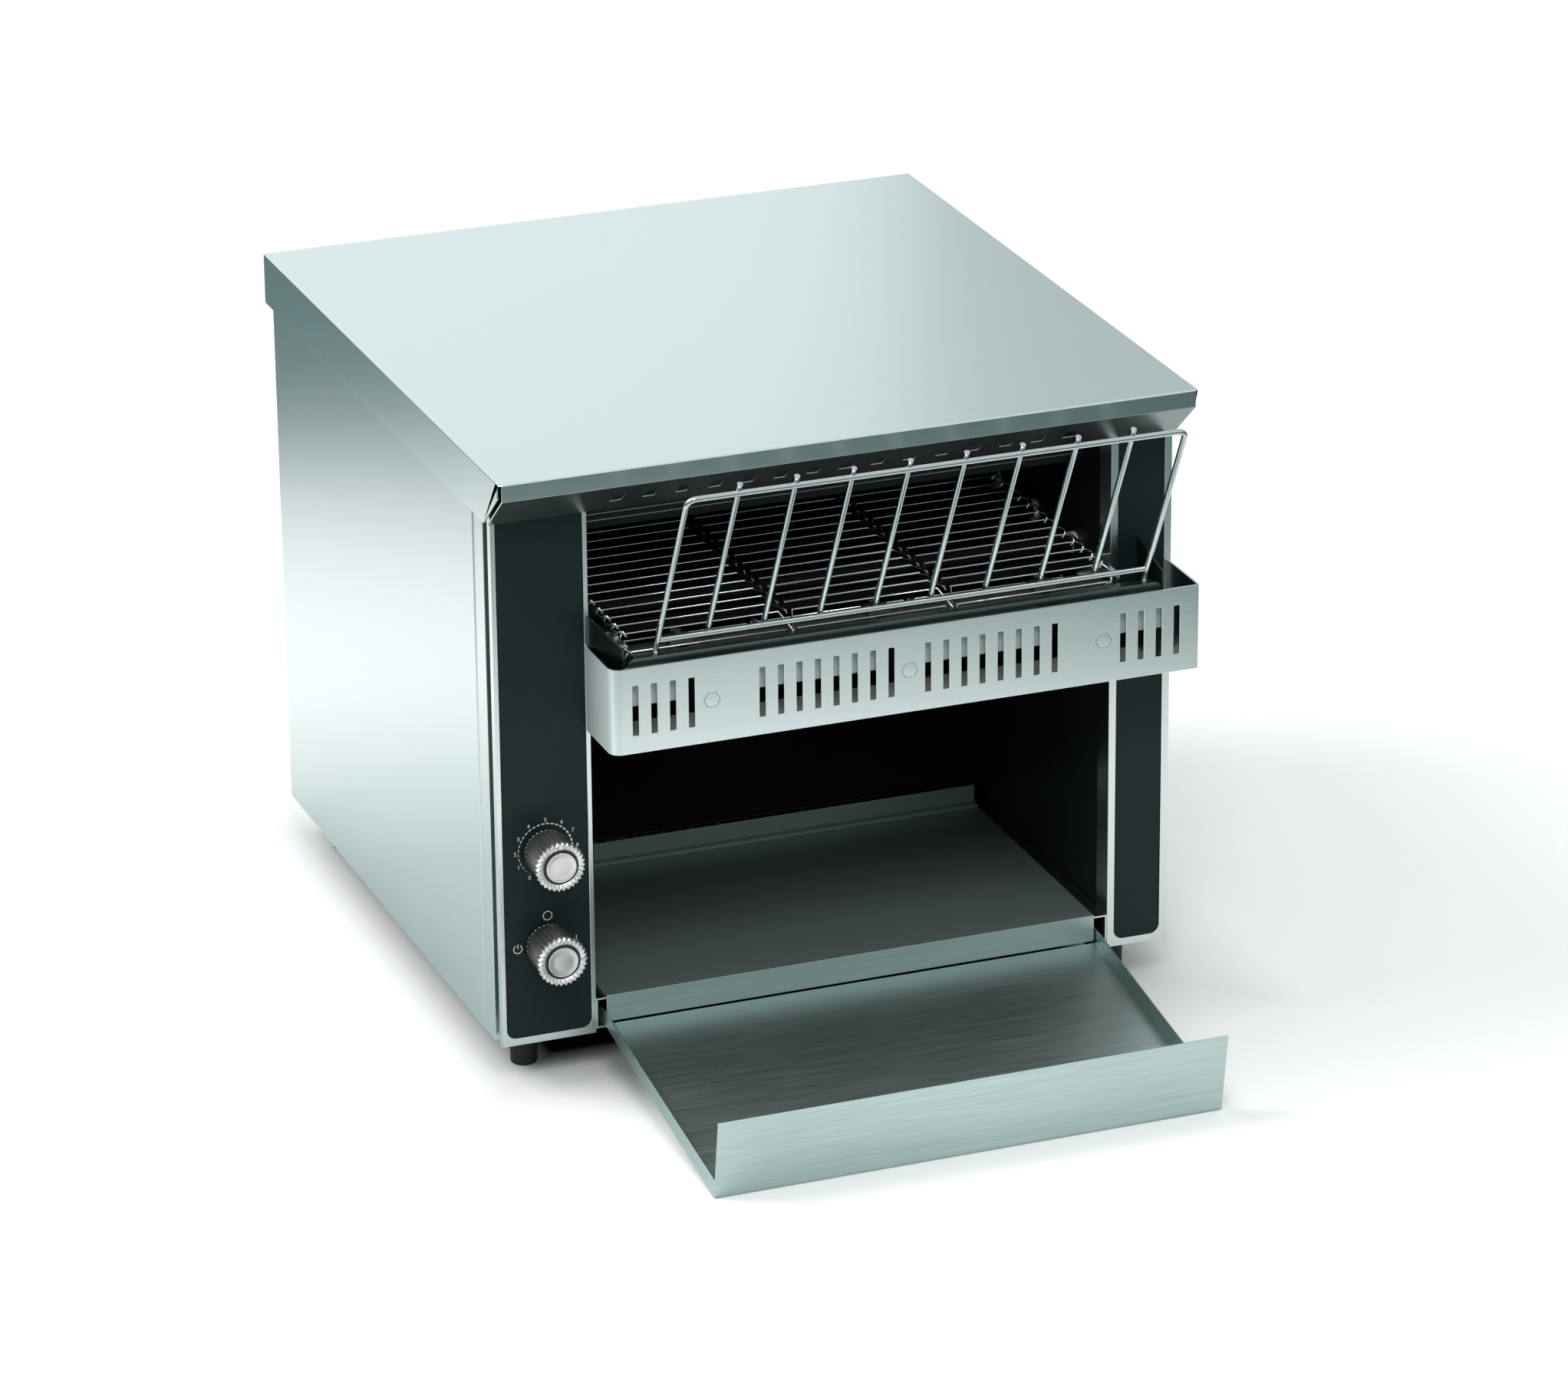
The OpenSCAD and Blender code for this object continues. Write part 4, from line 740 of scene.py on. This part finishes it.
fit(belt, wire_finish, "housing", "belt_wire", "conveyor_belt")

# ---------------------------------------------------------------- shafts and sprockets
# Ground shafts, toothed discs pinned to them, bronze bushes and the two plates
# that carry the front shaft.
turned_finish = brushed("turned_steel", (0.48, 0.50, 0.51), "X", rough=0.32)
# Shafts and sprockets are painted almost black: painted shade inside the machine.
shaded_shaft_finish = sooted("shaft_painted_shade_steel", (0.045, 0.048, 0.050), rough=0.45, metal=0.7, shine=0.2)
for kind, edge in (("_sprockets", 0.0002), ("_shaft", 0.0006)):
    for body in ("drive", "idler"):
        folded_sheet(body + kind, shaded_shaft_finish, "machined_steel", body=body, edge=edge)
dressed("drive_bushes", polished("bush_bronze", (0.55, 0.36, 0.16), rough=0.35))
folded_sheet("idler_brackets", guard_finish, "stainless_shell")

# ---------------------------------------------------------------- elements
# Sheathed heating tubes in ceramic sleeves.
dressed("upper_elements", soot_and_shade)
dressed("lower_elements", soot_and_shade)


def moulded(name, colour, rough=0.5, fine=600.0):
    """Moulded plastic, rubber or ceramic with a fine even skin."""
    skin = Finish(name)
    place = skin.node("ShaderNodeTexCoord", out="Object")
    pores = skin.noise(place, fine, 3.0)
    patches = skin.noise(place, 30.0, 3.0)
    return skin.shaded(
        Base_Color=skin.mixed(patches, tint(colour, 0.85), tint(colour, 1.12)),
        Roughness=patches * 0.1 + (rough - 0.05),
        Normal=skin.bumped(0.12, 0.0002, pores),
    )


dressed("element_insulators", moulded("sleeve_ceramic", (0.82, 0.78, 0.68), rough=0.35))

# ---------------------------------------------------------------- belt drive
# Gear motor on its plate, two chain sprockets and the roller chain.
zinc = sooted("zinc_plate", (0.40, 0.42, 0.44), rough=0.4, metal=0.9)
dressed("gear_motor", zinc)
dressed("motor_bracket", bright_sheet_and_light)
dressed("motor_sprocket", turned_finish)
dressed("shaft_sprocket", turned_finish)
dressed("drive_chain", sooted("chain_steel", (0.14, 0.14, 0.14), rough=0.45, metal=0.9))

# ---------------------------------------------------------------- knobs
# Die-cast knobs: a fluted barrel of plated metal, and a bright cap with a
# scalloped rim, a sloping ring, a groove and a raised disc. The barrel is painted
# dark, a painted reflection of the dark plate, and the groove dark, painted shade.
black_plastic = moulded("moulded_black", (0.035, 0.035, 0.038))
dressed("speed_control", black_plastic)
dressed("selector_switch", black_plastic)
dressed("speed_spindle", zinc)
dressed("selector_spindle", zinc)


def turned(name, centre, profile, steps, axis=(0, -1, 0), across=(1, 0, 0)):
    """A turned piece: its half outline (along the axis, from it) spun once round."""
    bpy.ops.object.select_all(action="DESELECT")
    bpy.ops.mesh.primitive_plane_add(size=0.001)
    piece = bpy.context.object
    piece.name = piece.data.name = name
    centre, axis, across = Vector(centre), Vector(axis), Vector(across)
    points = [centre + axis * a + across * r for a, r in profile]
    bpy.ops.object.mode_set(mode="EDIT")
    bpy.ops.mesh.select_all(action="SELECT")
    bpy.ops.mesh.merge(type="CENTER")
    bpy.ops.transform.translate(value=points[0])
    for before, after in zip(points, points[1:]):
        bpy.ops.mesh.extrude_vertices_move(TRANSFORM_OT_translate={"value": after - before})
    bpy.ops.mesh.select_all(action="SELECT")
    bpy.ops.mesh.spin(steps=steps, angle=2 * math.pi, center=centre, axis=axis)
    bpy.ops.mesh.select_all(action="SELECT")
    bpy.ops.mesh.remove_doubles(threshold=0.000003)
    bpy.ops.mesh.normals_make_consistent(inside=False)
    bpy.ops.object.mode_set(mode="OBJECT")
    return piece


knob_finish = polished("knob_metal", (0.93, 0.91, 0.90), rough=0.36)
painted_dark_finish = polished("knob_painted_reflection_and_shade", (0.33, 0.32, 0.315), rough=0.42)
flutes = 30
# Millimetres out from the plate and from the axis
outline = [
    (22.0, 0), (22.0, 3.02), (3.0, 3.02), (3.0, 7.4), (0.0, 7.4),  # bore for the spindle and hollow back
    (0.0, 11.5), (0.4, 11.7), (6.0, 11.7), (12.0, 11.65), (18.0, 11.55), (19.4, 11.55),  # barrel
    (19.7, 12.3), (21.3, 12.5), (22.3, 12.4), (22.9, 11.9), (23.1, 11.2),  # rim
    (22.4, 9.6), (22.1, 9.2), (20.5, 9.0), (20.2, 8.5), (20.5, 8.0), (22.9, 7.9),  # sloping ring and groove
    (23.3, 7.7), (23.35, 7.3), (23.2, 6.9), (23.35, 4.0), (23.5, 0),  # raised disc
]
barrel_end, groove_end = 0.0195, 0.022
groove_inner, groove_outer, barrel_inner, flute_root = 0.0078, 0.0091, 0.0102, 0.0108
barrel_depth, rim_depth = 0.0005, 0.00055
notch_radius, notch_len, notch_up, notch_out = 0.0009, 0.004, 0.0100, 0.0232


def fluted(knob, face, z):
    """Works flutes into the barrel and scallops into the rim of a turned knob."""
    for vertex in knob.data.vertices:
        dx, dz, out = vertex.co.x - knob_x, vertex.co.z - z, face - vertex.co.y
        radius = math.hypot(dx, dz)
        if radius > flute_root and out > 0.0002:
            wave = math.cos(math.atan2(dz, dx) * flutes)
            grown = radius + (barrel_depth * wave - 0.0002 if out < barrel_end else rim_depth * wave)
            vertex.co.x, vertex.co.z = knob_x + dx * grown / radius, z + dz * grown / radius


def notched(knob, face, z, turn):
    """Cuts the pointer, a short round-bottomed groove near the rim, at its angle from the top."""
    bpy.ops.object.select_all(action="DESELECT")
    bpy.ops.mesh.primitive_cylinder_add(vertices=20, radius=notch_radius, depth=notch_len)
    notch = bpy.context.object
    bpy.ops.object.mode_set(mode="EDIT")
    bpy.ops.mesh.select_all(action="SELECT")
    bpy.ops.transform.rotate(value=math.pi / 2, orient_axis="X", center_override=(0, 0, 0))
    bpy.ops.object.mode_set(mode="OBJECT")
    for vertex in notch.data.vertices:
        up = notch_up + (0.003 if vertex.co.z > 0 else 0.0) + vertex.co.z
        across = vertex.co.x
        vertex.co = (
            knob_x + across * math.cos(turn) + up * math.sin(turn),
            face - notch_out + vertex.co.y * 0.6,
            z + up * math.cos(turn) - across * math.sin(turn),
        )
    pick(knob)
    cut = knob.modifiers.new("notch", "BOOLEAN")
    cut.operation, cut.object, cut.solver = "DIFFERENCE", notch, "EXACT"
    bpy.ops.object.modifier_apply(modifier=cut.name)
    bpy.data.objects.remove(notch)


def dark_part(at, face, z):
    """Whether a place on a knob is on its barrel or in its groove."""
    radius, out = math.hypot(at.x - knob_x, at.z - z), face - at.y
    return out < barrel_end and radius > barrel_inner or out < groove_end and groove_inner < radius < groove_outer


for dial, z, turn in (("speed", speed_z, 0.0), ("selector", selector_z, 90.0)):
    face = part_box(dial + "_knob")[1].y
    knob = turned(dial + "_knob_cap", (knob_x, face, z), [(a / 1000, r / 1000) for a, r in outline], flutes * 6)
    fluted(knob, face, z)
    notched(knob, face, z, math.radians(turn))
    bpy.ops.object.shade_smooth_by_angle(angle=math.radians(32))
    fit(knob, knob_finish, dial + "_dial", "knob_metal", dial + "_knob")
    # Barrel and groove painted dark: painted reflection on the barrel, painted shade in the groove.
    second_finish(knob, painted_dark_finish, lambda at, n: dark_part(at, face, z))

# ---------------------------------------------------------------- electrics
# Speed board, relay, terminals, thermostat and the loom of sleeved wires.
dressed("control_board", moulded("solder_resist", (0.03, 0.22, 0.11), rough=0.35))
dressed("heater_relay", black_plastic)
dressed("terminal_block", moulded("ivory_plastic", (0.80, 0.77, 0.68)))
dressed("safety_thermostat", zinc)
dressed("wiring_loom", moulded("red_sleeving", (0.40, 0.05, 0.03), rough=0.6))

# ---------------------------------------------------------------- rear and underside
# Cooling fan behind its grille, cord gland, rubber feet and the screws.
folded_sheet("fan_frame", black_plastic, "control_plastic", edge=0.0003)
folded_sheet("fan_rotor", black_plastic, "control_plastic", body="fan", edge=0.0003)
folded_sheet("cord_gland", black_plastic, "control_plastic", edge=0.0003)
rubber = moulded("foot_rubber", (0.022, 0.024, 0.025), rough=0.7, fine=1500.0)
folded_sheet("rubber_feet", rubber, "foot_rubber", edge=0.0004)
dressed("foot_screws", zinc)
folded_sheet("cover_screws", zinc, "zinc_screws", edge=0.0002)
folded_sheet("rear_screws", zinc, "zinc_screws", edge=0.0002)

# ---------------------------------------------------------------- end
bpy.context.view_layer.update()
